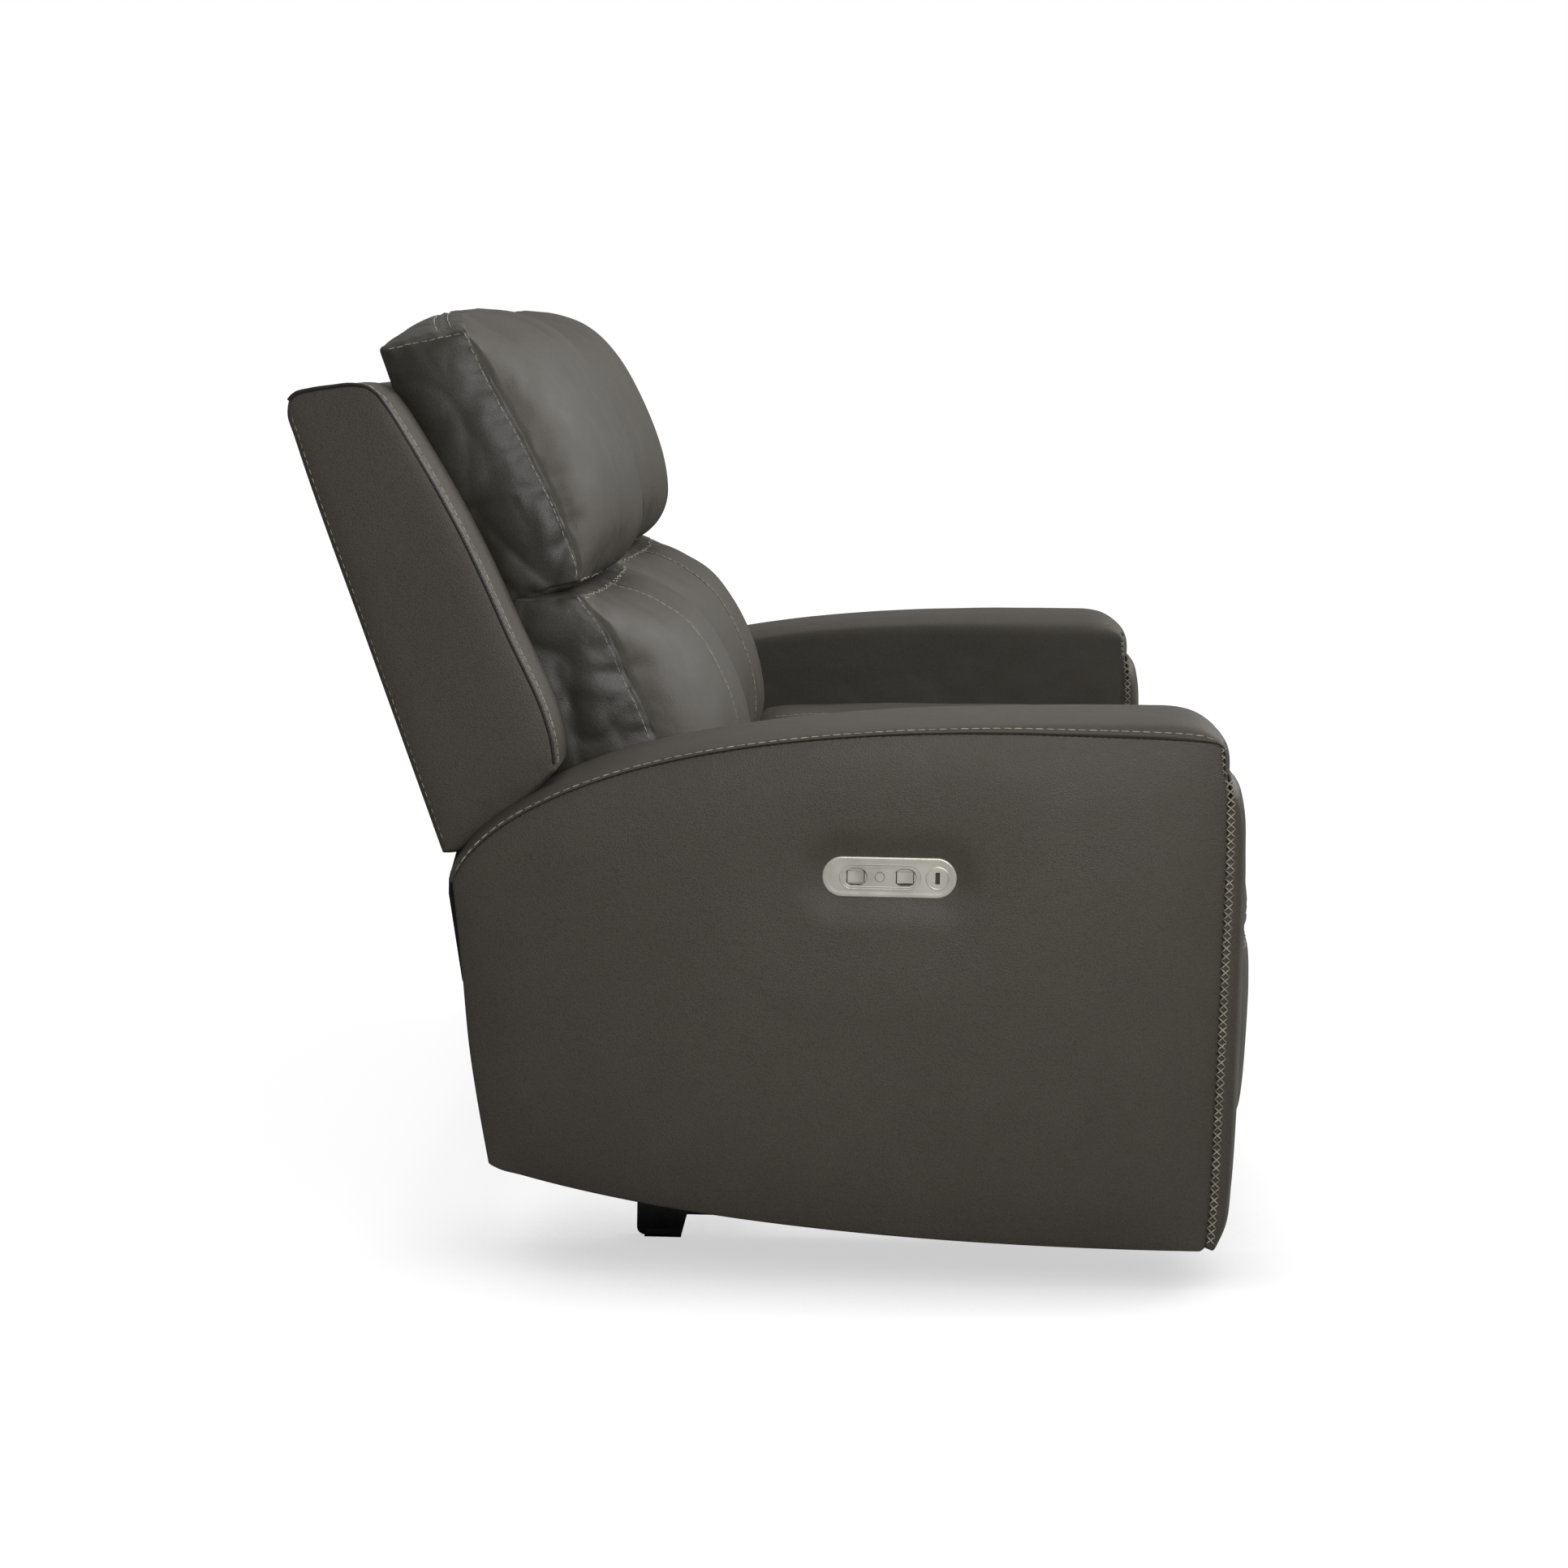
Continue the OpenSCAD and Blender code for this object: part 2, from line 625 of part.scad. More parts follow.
// Zigzag springs from the front rail to the rear rail
module seat_springs() {
    y0 = seat_front_y + front_rail_t + snug;
    run = seat_back_y - front_rail_t - snug - y0;
    steps = spring_waves * 12;
    function edge(i, side) = [
        spring_amp * sin(360 * spring_waves * i / steps) + side * spring_wire / 2, run * i / steps];
    color(GREY_STEEL) for (k = [1:spring_n])
        translate([seat_l + k * seat_w / (spring_n + 1), y0, deck_z + rail_h - spring_wire - 1])
            linear_extrude(height = spring_wire)
                polygon(concat([for (i = [0:steps]) edge(i, -1)], [for (i = [steps:-1:0]) edge(i, 1)]));
}

module seat_cushion() {
    nose = front_y + 4.5;
    color(LEATHER_SMOOTH) yz(seat_l, seat_w) polygon(concat(
        [[cushion_rear, cushion_low], [cushion_rear, seat_h]],
        curve3([front_y + 117.5, seat_h - 3], [front_y + 30, seat_h - 3], [nose, seat_h - 35],
            [nose, seat_h - 75], 8),
        curve2([nose, cushion_low + 30], [nose, cushion_low], [nose + 30, cushion_low], 5)));
}

// A pair of swing links: k is 0 at the front and 1 at the rear
module swing_links(k) {
    foot = swing_feet[k];
    color(GREY_STEEL) both() {
        bar(1, foot, foot + swing_arm);
        rivet(foot, 0, 1, head_out = true);
        rivet(foot + swing_arm, 1, 2, head_in = true);
    }
}

// ---- back, for the left seat ----
// Steel legs that carry the back on the carriage's rear hinges
module back_brackets() {
    color(BLACK_STEEL) both() {
        layer(3) polygon([back_hinge + [-17, 6], back_hinge + [-8, -18], back_hinge + [14, -16],
            stile_low + [8, 8], stile_low + [10, 130], stile_low + [-26, 140]]);
        rivet(back_hinge, 2, 3, r = hinge_r, head_out = true);
    }
}

// Inner board on two stiles, the cloth apron behind them, and two ears for the head hinge
module back_frame() {
    board_x = seat_l + fit_gap;
    stile_x = [board_x, -layer_in(3) - layer_gap - stile_w];
    color(PLY) {
        yz(board_x, seat_w - side_wall - 2 * fit_gap) polygon([
            back_pt(board_low_s, shell_depth + snug), back_pt(board_high_s, shell_depth + snug),
            back_pt(board_high_s, board_n), back_pt(board_low_s, board_n)]);
        for (x = stile_x) yz(x, stile_w) polygon([
            stile_low, apron_low - [snug, 0], back_pt(-2, 12), back_pt(-2, shell_depth),
            back_pt(board_low_s, shell_depth)]);
    }
    color(BLACK_CLOTH) yz(board_x, seat_w - 2 * fit_gap) polygon([
        apron_low, apron_low + [7, 0], back_root + [apron_bulge, -62], back_root + [apron_bulge, -45],
        back_root + [1, -4], back_root + [-10, -4]]);
    color(GREY_STEEL) for (x = ear_x) yz(x, ear_t) difference() {
        polygon(concat(
            [back_pt(head_hinge_s - 40, board_n + snug), back_pt(head_hinge_s + 20, board_n + snug)],
            arc(head_hinge, ear_w / 2, 90 - back_lean, 270 - back_lean, 12)));
        translate(head_hinge) circle(r = head_hinge_r + pivot_gap);
    }
}

// The shell's rear top corner, from its rear face to its level top
function shell_crown() = concat([crown + crown_r * [cos(back_lean), -sin(back_lean)]],
    arc(crown, crown_r, 0, 90, 6));

// Side outline of the wing; its underside follows the arm's cap
module wing() {
    cap = arm_top(cap_rise, 0);
    front_low = (cap[6] + cap[7]) / 2 + wing_gap * [0.4, 0.95];
    under = [for (i = [6:-1:1]) let (p = cap[i] + wing_gap * [0.8, 0.7])
        if ((p - back_root) * back_n > 4) p];
    rear_low_s = (under[len(under) - 1] - back_root) * back_s + 12;
    polygon(concat([back_pt(rear_low_s, 0)], shell_crown(),
        [[crown[0] - 93, top_z - 5], front_low + [-4, 14], front_low], under));
}

// Upholstered shell: rear wall, top, wall towards the other seat, and the wing
module back_shell() {
    low_z = top_z - top_wall;
    color(LEATHER) {
        yz(seat_l, seat_w) polygon(concat([back_pt(0, shell_wall), back_pt(0, 0)], shell_crown(),
            [back_pt(level_s(top_z, shell_wall), shell_wall)]));
        yz(seat_l, seat_w) polygon([
            back_pt(level_s(low_z, shell_wall - 1), shell_wall - 1),
            back_pt(level_s(top_z, shell_wall - 1), shell_wall - 1),
            back_pt(level_s(top_z, cushion_n), cushion_n), back_pt(level_s(low_z, cushion_n), cushion_n)]);
        yz(seat_r - side_wall, side_wall) polygon([back_pt(0, 1), back_pt(shell_len, 1),
            back_pt(level_s(top_z, shell_wall), shell_wall),
            back_pt(level_s(top_z, cushion_n), cushion_n), back_pt(10, cushion_n)]);
        yz(seat_l - wing_w, wing_w) wing();
    }
}

module lumbar_cushion() {
    belly = rear_y - 485.5;
    color(LEATHER_SMOOTH) yz(seat_l, seat_w) polygon(concat(
        [back_pt(lumbar_low_s, cushion_n), [belly + 33, seat_h - 98], [belly + 26, seat_h - 2]],
        curve3([belly, seat_h + 12], [belly - 4, seat_h + 95], [belly + 53, lumbar_top - 7],
            [belly + 138, lumbar_top], 10),
        [back_pt(lumbar_top_s, cushion_n)]));
}

// A block along X between two places up the back and two depths from it
module pocket(s0, s1, n0, n1) {
    yz(pocket_x, pocket_w) polygon([back_pt(s0, n0), back_pt(s1, n0), back_pt(s1, n1), back_pt(s0, n1)]);
}

// Head cushion with a pocket behind for its hinge; its underside is round about the hinge
module head_cushion() {
    color(LEATHER_SMOOTH) difference() {
        yz(seat_l + 1, seat_w - side_wall - 4) polygon(concat(
            arc(head_hinge, head_low_r, -back_lean, -118, 8),
            [head_hinge + [-90, -50], head_hinge + [-104, -34]],
            curve3(head_hinge + [-113, -22], head_hinge + [-126, 65], head_hinge + [-36, 237],
                head_hinge + [46, 235], 12),
            curve2(head_hinge + [66, 234], head_hinge + [118, 232], back_pt(head_hinge_s + 226, head_n), 5),
            [back_pt(head_hinge_s, head_n)]));
        pocket(head_hinge_s - 120, head_hinge_s + 40, head_n - 20, head_hinge_n + 22);
        pocket(head_hinge_s, head_hinge_s + 190, head_n - 20, head_plate_n + head_plate_t + snug);
    }
}

// Steel plate in the head cushion's rear, with two arms on the head hinge's pin
module headrest_bracket() {
    color(GREY_STEEL) {
        yz(pocket_x + 4, pocket_w - 8) polygon([
            back_pt(head_hinge_s + 30, head_plate_n), back_pt(head_hinge_s + 180, head_plate_n),
            back_pt(head_hinge_s + 180, head_plate_n + head_plate_t),
            back_pt(head_hinge_s + 30, head_plate_n + head_plate_t)]);
        for (x = [ear_x[0] + ear_t + 1, ear_x[1] - ear_t - 1]) yz(x, ear_t)
            polygon(capsule(head_hinge, back_pt(head_hinge_s + 24, head_plate_n + ear_w / 2), ear_w / 2));
        rod(head_hinge, head_hinge_r, ear_x[0] - 3, ear_x[1] + ear_t + 3);
    }
}

// Small motor behind the inner board that tips the headrest
module headrest_motor() {
    s0 = head_hinge_s - 190;
    color(BLACK_PLASTIC) yz(seat_mid - 30, 60) polygon([
        back_pt(s0, shell_wall + 2), back_pt(s0 + 150, shell_wall + 2),
        back_pt(s0 + 150, shell_depth), back_pt(s0, shell_depth)]);
}

// ---- footrest linkage, for the left seat ----
module rear_ottoman_links() {
    color(GREY_STEEL) {
        both() {
            bar(3, ottoman_pivot, link_foot);
            rivet(ottoman_pivot, 2, 3, head_out = true);
            rivet(cross_pivot, 3, 4);
            rivet(link_foot, 3, 4);
        }
        rod(torque_pt, tube_r, -half_in + layer_in(3) + snug, -layer_in(3) - snug);
    }
}

module cross_links() {
    color(GREY_STEEL) both() difference() {
        bar(4, cross_pivot - cross_tail * along(front_link_angle), cross_end);
        layer_hole(4, cross_pivot, rivet_r + pivot_gap);
        layer_hole(4, cross_end, rivet_r + pivot_gap);
    }
}

module front_ottoman_links() {
    color(GREY_STEEL) both() difference() {
        union() {
            bar(4, link_foot, footrest_pivot);
            rivet(footrest_pivot, 3, 4);
        }
        layer_hole(4, link_foot, rivet_r + pivot_gap);
        layer_hole(4, outer_pivot, rivet_r + pivot_gap);
    }
}

// Outer links, each with a lug on the end of the flap
module outer_ottoman_links() {
    color(GREY_STEEL) both() {
        bar(5, cross_end, outer_end);
        layer(5) polygon([flap_pt(flap_lug[0], 0), flap_pt(flap_lug[1], 0),
            flap_pt(flap_lug[1] - 10, flap_n + 12), flap_pt(flap_lug[0] + 10, flap_n + 12)]);
        rivet(cross_end, 4, 5);
        rivet(outer_pivot, 4, 5);
    }
}

// Padded flap that covers the gap between the seat and the open footrest
module flap() {
    bevel = 10;
    flap_x = layer_in(5) + snug;
    color(LEATHER) yz(-half_in + flap_x, half_in - 2 * flap_x) polygon([
        flap_pt(flap_high_s, flap_n), flap_pt(flap_low_s, flap_n),
        flap_pt(flap_low_s, flap_n + flap_t - bevel), flap_pt(flap_low_s - bevel, flap_n + flap_t),
        flap_pt(flap_high_s + bevel, flap_n + flap_t), flap_pt(flap_high_s, flap_n + flap_t - bevel)]);
}

// Footrest board, with a steel bracket on each of the front links' pins
module footrest_board() {
    margin = 5;
    color(PLY) translate([seat_l, board_front + snug, footrest_low + margin])
        cube([seat_w, ply_t - 2 * snug, footrest_top - footrest_low - 2 * margin]);
    color(GREY_STEEL) both() difference() {
        layer(3) polygon(concat(arc(footrest_pivot, link_w / 2, -60, 90, 8),
            [[board_rear, footrest_pivot[1] + link_w / 2],
            [board_rear, footrest_pivot[1] + link_w / 2 - bracket_w]]));
        layer_hole(3, footrest_pivot, rivet_r + pivot_gap);
    }
}

module footrest_pad() {
    color(LEATHER) yz(seat_l, seat_w) polygon(concat(
        [[board_front, footrest_top], [front_y + 20, footrest_top]],
        curve2([front_y + 10, footrest_top - 3], [front_y, footrest_top - 8],
            [front_y, footrest_top - 35], 5),
        curve2([front_y, footrest_low + 30], [front_y, footrest_low + 5],
            [front_y + 18, footrest_low], 5),
        [[board_front, footrest_low]]));
}

// ---- recline drive, for the left seat ----
// Geared motor on the rear tube, with a rail that runs forward under the front tube
module recline_motor() {
    gear_z = tube_rear[1] + 18 - drive_gear[2];
    gear_y = tube_rear[0] - drive_gear[1] / 2;
    rail_front = tube_front[0] - 70;
    color(BLACK_PLASTIC) {
        difference() {
            translate([seat_mid - drive_gear[0] / 2, gear_y, gear_z]) cube(drive_gear);
            rod(tube_rear, tube_r + snug, seat_mid - drive_gear[0], seat_mid + drive_gear[0]);
        }
        rod([tube_rear[0], tube_rear[1] - tube_r - 2 - motor_r], motor_r, seat_mid + drive_gear[0] / 2,
            seat_mid + drive_gear[0] / 2 + motor_l);
    }
    color(GREY_STEEL) translate([seat_mid - drive_rail[0] / 2, rail_front, drive_rail_z])
        cube([drive_rail[0], gear_y - snug - rail_front, drive_rail[1]]);
}

// Block that the motor's screw moves along the rail
module drive_block() {
    outer_w = drive_rail[0] + 2 * drive_wall;
    inner_w = drive_rail[0] + 2 * fit_gap;
    color(BLACK_PLASTIC) difference() {
        translate([seat_mid - outer_w / 2, drive_block_y - drive_block_l / 2, drive_rail_z - drive_wall])
            cube([outer_w, drive_block_l, drive_rail[1]]);
        translate([seat_mid - inner_w / 2, drive_block_y - drive_block_l / 2 - 1, drive_rail_z - fit_gap])
            cube([inner_w, drive_block_l + 2, drive_rail[1]]);
    }
}

// ---- what is drawn ----
union() {  // arm_frames
    arm_frame();
    right() arm_frame();
}
union() {  // arm_covers
    arm_cover();
    right() arm_cover();
}
union() {  // arm_caps
    arm_cap();
    right() arm_cap();
}
union() {  // arm_dust_covers
    arm_dust_cover();
    right() arm_dust_cover();
}
mechanism_base();
base_bolts();
rear_rail();
power_supply();
color(SATIN_SILVER) {  // control_bezels
    control_bezel();
    right() control_bezel();
}
color(BLACK_PLASTIC) {  // control_modules
    control_module();
    right() control_module();
}
rocker_switch(recline_y);  // left_recline_rocker
rocker_switch(headrest_y);  // left_headrest_rocker
home_button();  // left_home_button
right() rocker_switch(recline_y);  // right_recline_rocker
right() rocker_switch(headrest_y);  // right_headrest_rocker
right() home_button();  // right_home_button
carriage_plates();  // left_carriage_plates
seat_rails();  // left_seat_rails
seat_springs();  // left_seat_springs
seat_cushion();  // left_seat_cushion
swing_links(0);  // left_front_swing_links
swing_links(1);  // left_rear_swing_links
back_brackets();  // left_back_brackets
back_frame();  // left_back_frame
back_shell();  // left_back_shell
lumbar_cushion();  // left_lumbar_cushion
headrest_motor();  // left_headrest_motor
headrest_bracket();  // left_headrest_bracket
head_cushion();  // left_head_cushion
rear_ottoman_links();  // left_rear_ottoman_links
cross_links();  // left_cross_links
front_ottoman_links();  // left_front_ottoman_links
outer_ottoman_links();  // left_outer_ottoman_links
flap();  // left_flap
footrest_board();  // left_footrest_board
footrest_pad();  // left_footrest_pad
recline_motor();  // left_recline_motor
drive_block();  // left_drive_block
right() carriage_plates();  // right_carriage_plates
right() seat_rails();  // right_seat_rails
right() seat_springs();  // right_seat_springs
right() seat_cushion();  // right_seat_cushion
right() swing_links(0);  // right_front_swing_links
right() swing_links(1);  // right_rear_swing_links
right() back_brackets();  // right_back_brackets
right() back_frame();  // right_back_frame
right() back_shell();  // right_back_shell
right() lumbar_cushion();  // right_lumbar_cushion
right() headrest_motor();  // right_headrest_motor
right() headrest_bracket();  // right_headrest_bracket
right() head_cushion();  // right_head_cushion
right() rear_ottoman_links();  // right_rear_ottoman_links
right() cross_links();  // right_cross_links
right() front_ottoman_links();  // right_front_ottoman_links
right() outer_ottoman_links();  // right_outer_ottoman_links
right() flap();  // right_flap
right() footrest_board();  // right_footrest_board
right() footrest_pad();  // right_footrest_pad
right() recline_motor();  // right_recline_motor
right() drive_block();  // right_drive_block
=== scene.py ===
"""Looks of a two-seat power reclining sofa in dark taupe leather.

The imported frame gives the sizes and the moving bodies. The leather, cloth and
thread are made here around it, and the frame's own steel, wood and plastic
pieces get their finishes. Each seat is written once, as the left one, and
mirrored for the right.
"""

import logging
import math
from dataclasses import dataclass, field
from enum import Enum
from itertools import product
from typing import Callable, Optional, Sequence, Union

import bmesh
import bpy
import numpy as np
from mathutils import Matrix, Vector
from mathutils.bvhtree import BVHTree


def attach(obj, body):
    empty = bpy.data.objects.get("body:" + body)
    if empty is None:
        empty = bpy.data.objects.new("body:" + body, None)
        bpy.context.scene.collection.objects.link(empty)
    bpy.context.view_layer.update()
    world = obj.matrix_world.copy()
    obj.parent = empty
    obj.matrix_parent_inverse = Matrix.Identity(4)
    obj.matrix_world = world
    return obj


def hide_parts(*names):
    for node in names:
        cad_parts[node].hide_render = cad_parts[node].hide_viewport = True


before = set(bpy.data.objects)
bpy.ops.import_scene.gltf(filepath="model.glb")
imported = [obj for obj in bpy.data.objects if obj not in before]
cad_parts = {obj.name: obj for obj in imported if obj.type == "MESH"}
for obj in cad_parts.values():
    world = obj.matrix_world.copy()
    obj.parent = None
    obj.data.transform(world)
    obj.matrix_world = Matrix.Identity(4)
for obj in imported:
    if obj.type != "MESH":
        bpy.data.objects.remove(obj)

LOG = logging.getLogger("sofa")
Points = Sequence[tuple[float, float]]
Colour = tuple[float, float, float]
Array = np.ndarray
Place = Union[float, np.ndarray]
Socket = bpy.types.NodeSocket
Feed = Union[bpy.types.NodeSocket, float, tuple[float, ...]]


class Side(Enum):
    """One of the two seats and arms, with the sign that mirrors the left one."""

    LEFT = 1
    RIGHT = -1

    @property
    def word(self) -> str:
        """The side's name as the frame's bodies use it."""
        return self.name.lower()

    @property
    def flip(self) -> Array:
        """What places on the left side are multiplied by to come to this side."""
        return np.array([self.value, 1, 1])

    def line(self, x: Place, yz: Array) -> Array:
        """Returns places on this side from x across the left side and (y, z) along it."""
        return np.stack([np.broadcast_to(x, len(yz)), yz[:, 0], yz[:, 1]], 1) * self.flip


class Stitch(Enum):
    """How a row of thread is sewn."""

    RUNNING = "running"
    CROSS = "cross"


# ---------------------------------------------------------------- node trees


class Nodes:
    """Short-hand for filling a node tree."""

    def __init__(self, tree: bpy.types.NodeTree) -> None:
        """Starts on a shader or geometry tree, emptied."""
        self.tree = tree
        tree.nodes.clear()

    def add(self, kind: str, inputs: Optional[dict] = None, **settings: object) -> bpy.types.Node:
        """Adds a node.

        Args:
            kind: Blender's name of the node type.
            inputs: Values or sockets for its inputs, by name or number.
            **settings: Properties of the node itself.

        Returns:
            The new node.
        """
        node = self.tree.nodes.new(kind)
        for key, value in settings.items():
            setattr(node, key, value)
        for key, value in (inputs or {}).items():
            if isinstance(value, bpy.types.NodeSocket):
                self.tree.links.new(value, node.inputs[key])
            else:
                node.inputs[key].default_value = value
        return node

    def noise(self, where: Socket, scale: float, detail: float = 3, rough: float = 0.5) -> Socket:
        """Returns the height output of a noise texture."""
        values = {"Vector": where, "Scale": scale, "Detail": detail, "Roughness": rough}
        return self.add("ShaderNodeTexNoise", values).outputs[0]

    def ramp(self, value: Feed, low: float, high: float, out_low: float = 0,
             out_high: float = 1) -> Socket:
        """Returns a value mapped from one range to another, clamped."""
        values = {0: value, 1: low, 2: high, 3: out_low, 4: out_high}
        return self.add("ShaderNodeMapRange", values).outputs[0]

    def maths(self, operation: str, a: Feed, b: Feed = 0.0) -> Socket:
        """Returns the result of a maths node."""
        return self.add("ShaderNodeMath", {0: a, 1: b}, operation=operation).outputs[0]

    def blend(self, share: Feed, a: Feed, b: Feed) -> Socket:
        """Returns a colour between two colours."""
        values = {0: share, 6: a, 7: b}
        return self.add("ShaderNodeMix", values, data_type="RGBA").outputs[2]

    def bump(self, height: Feed, distance: float, normal: Optional[Socket] = None) -> Socket:
        """Roughens a normal by a height.

        Args:
            height: The height, as a share.
            distance: Metres that a height of 1 stands for.
            normal: The normal to roughen, if not the surface's.

        Returns:
            The normal.
        """
        values = {"Strength": 1.0, "Distance": distance, "Height": height}
        if normal is not None:
            values["Normal"] = normal
        return self.add("ShaderNodeBump", values).outputs[0]


def rgba(colour: Colour, times: float = 1.0, plus: float = 0.0) -> tuple[float, ...]:
    """Turns a colour as a screen shows it into a linear one.

    Args:
        colour: Its red, green and blue.
        times: Factor that makes it darker or paler.
        plus: Amount added to each after that.

    Returns:
        Linear red, green and blue, and an alpha of 1.
    """
    shown = [min(1, c * times + plus) for c in colour]
    linear = [c / 12.92 if c <= 0.04045 else ((c + 0.055) / 1.055) ** 2.4 for c in shown]
    return (*linear, 1.0)


def place_object(name: str, data: bpy.types.ID) -> bpy.types.Object:
    """Makes an object in the scene.

    Args:
        name: Its name.
        data: The mesh, lamp or camera that it holds.

    Returns:
        The object.
    """
    made = bpy.data.objects.new(name, data)
    bpy.context.scene.collection.objects.link(made)
    return made


# ---------------------------------------------------------------- finishes


@dataclass(frozen=True)
class Finish:
    """A finish of one material of the sofa."""

    name: str
    colour: Colour
    roughness: float = 0.5
    metallic: float = 0.0

    def material(self) -> bpy.types.Material:
        """Makes the finish's material, once.

        Returns:
            The material.
        """
        made = bpy.data.materials.get("finish_" + self.name)
        if made is None:
            made = bpy.data.materials.new("finish_" + self.name)
            made.use_nodes = True
            nodes = Nodes(made.node_tree)
            shader = nodes.add("ShaderNodeBsdfPrincipled")
            shader.inputs["Base Color"].default_value = rgba(self.colour)
            shader.inputs["Roughness"].default_value = self.roughness
            shader.inputs["Metallic"].default_value = self.metallic
            where = nodes.add("ShaderNodeTexCoord").outputs["Object"]
            self.dress(nodes, shader, where)
            out = nodes.add("ShaderNodeOutputMaterial")
            made.node_tree.links.new(shader.outputs[0], out.inputs[0])
        return made

    def wire(self, nodes: Nodes, shader: bpy.types.Node, **sockets: Socket) -> None:
        """Joins outputs to the shader's inputs, an underscore for each space."""
        for name, socket in sockets.items():
            nodes.tree.links.new(socket, shader.inputs[name.replace("_", " ")])

    def dress(self, nodes: Nodes, shader: bpy.types.Node, where: Socket) -> None:
        """Adds the finish's own nodes between the place and the shader."""


@dataclass(frozen=True)
class Leather(Finish):
    """Dyed leather: pebbles, creases and a slow drift of tone."""

    crest: Colour = (0.3, 0.29, 0.26)
    grain: float = 620.0
    grain_depth: float = 0.0005
    crease: float = 90.0
    crease_depth: float = 0.0004
    shine: float = 0.32

    def dress(self, nodes: Nodes, shader: bpy.types.Node, where: Socket) -> None:
        """Adds grain, creases, tone and uneven gloss.

        Args:
            nodes: The material's nodes.
            shader: Its shader.
            where: Place on the object.
        """
        drift = nodes.noise(where, 3.1, 4, 0.6)
        cloud = nodes.noise(where, 17.0, 4, 0.6)
        warp = nodes.add("ShaderNodeTexNoise", {"Vector": where, "Scale": 45.0, "Detail": 2.0})
        bent = nodes.add("ShaderNodeVectorMath", {0: warp.outputs[1], 1: (0.006,) * 3},
                         operation="MULTIPLY")
        bent = nodes.add("ShaderNodeVectorMath", {0: where, 1: bent.outputs[0]}, operation="ADD")
        cells = nodes.add("ShaderNodeTexVoronoi",
                          {"Vector": bent.outputs[0], "Scale": self.grain})
        pebble = nodes.ramp(cells.outputs["Distance"], 0.1, 0.75, 1.0, 0.0)
        fine = nodes.noise(where, self.grain * 1.7, 3, 0.6)
        height = nodes.maths("ADD", nodes.maths("MULTIPLY", pebble, 0.7),
                             nodes.maths("MULTIPLY", fine, 0.5))
        fold = nodes.noise(bent.outputs[0], self.crease, 4, 0.6)
        normal = nodes.bump(height, self.grain_depth)
        normal = nodes.bump(fold, self.crease_depth, normal)
        tone = nodes.ramp(nodes.maths("ADD", drift, nodes.maths("MULTIPLY", cloud, 0.35)),
                          0.45, 0.95)
        colour = nodes.blend(tone, rgba(self.colour), rgba(self.crest))
        dark = nodes.blend(nodes.ramp(height, 0.2, 0.8, 0.35, 0.0), colour,
                           rgba(self.colour, 0.55))
        gloss = nodes.ramp(cloud, 0.3, 0.7, self.roughness - 0.05, self.roughness + 0.06)
        shader.inputs["Specular IOR Level"].default_value = self.shine
        self.wire(nodes, shader, Base_Color=dark, Roughness=gloss, Normal=normal)


@dataclass(frozen=True)
class Cloth(Finish):
    """Plain woven cloth."""

    threads: float = 900.0

    def dress(self, nodes: Nodes, shader: bpy.types.Node, where: Socket) -> None:
        """Adds the two sets of threads and a little fuzz.

        Args:
            nodes: The material's nodes.
            shader: Its shader.
            where: Place on the object.
        """
        weave = None
        for axis in ("X", "Z"):
            wave = nodes.add("ShaderNodeTexWave", {"Vector": where, "Scale": self.threads / 6.28,
                             "Distortion": 0.6}, bands_direction=axis).outputs["Fac"]
            weave = wave if weave is None else nodes.maths("MAXIMUM", weave, wave)
        fuzz = nodes.noise(where, 60.0, 4)
        colour = nodes.blend(nodes.ramp(weave, 0.2, 0.9), rgba(self.colour, 0.6),
                             rgba(self.colour))
        rough = nodes.ramp(fuzz, 0.3, 0.7, self.roughness - 0.08, self.roughness + 0.05)
        self.wire(nodes, shader, Base_Color=colour, Roughness=rough,
                  Normal=nodes.bump(weave, 0.0003))


@dataclass(frozen=True)
class Thread(Finish):
    """Twisted sewing thread."""

    def dress(self, nodes: Nodes, shader: bpy.types.Node, where: Socket) -> None:
        """Adds the twist and a slight change of tone along the row.

        Args:
            nodes: The material's nodes.
            shader: Its shader.
            where: Place on the object.
        """
        twist = nodes.add("ShaderNodeTexWave",
                          {"Vector": where, "Scale": 420.0, "Distortion": 1.5},
                          bands_direction="DIAGONAL").outputs["Fac"]
        tone = nodes.noise(where, 90.0, 2)
        colour = nodes.blend(nodes.ramp(tone, 0.35, 0.65), rgba(self.colour, 0.72),
                             rgba(self.colour))
        rough = nodes.ramp(twist, 0, 1, self.roughness - 0.1, self.roughness)
        self.wire(nodes, shader, Base_Color=colour, Roughness=rough,
                  Normal=nodes.bump(twist, 0.0002))


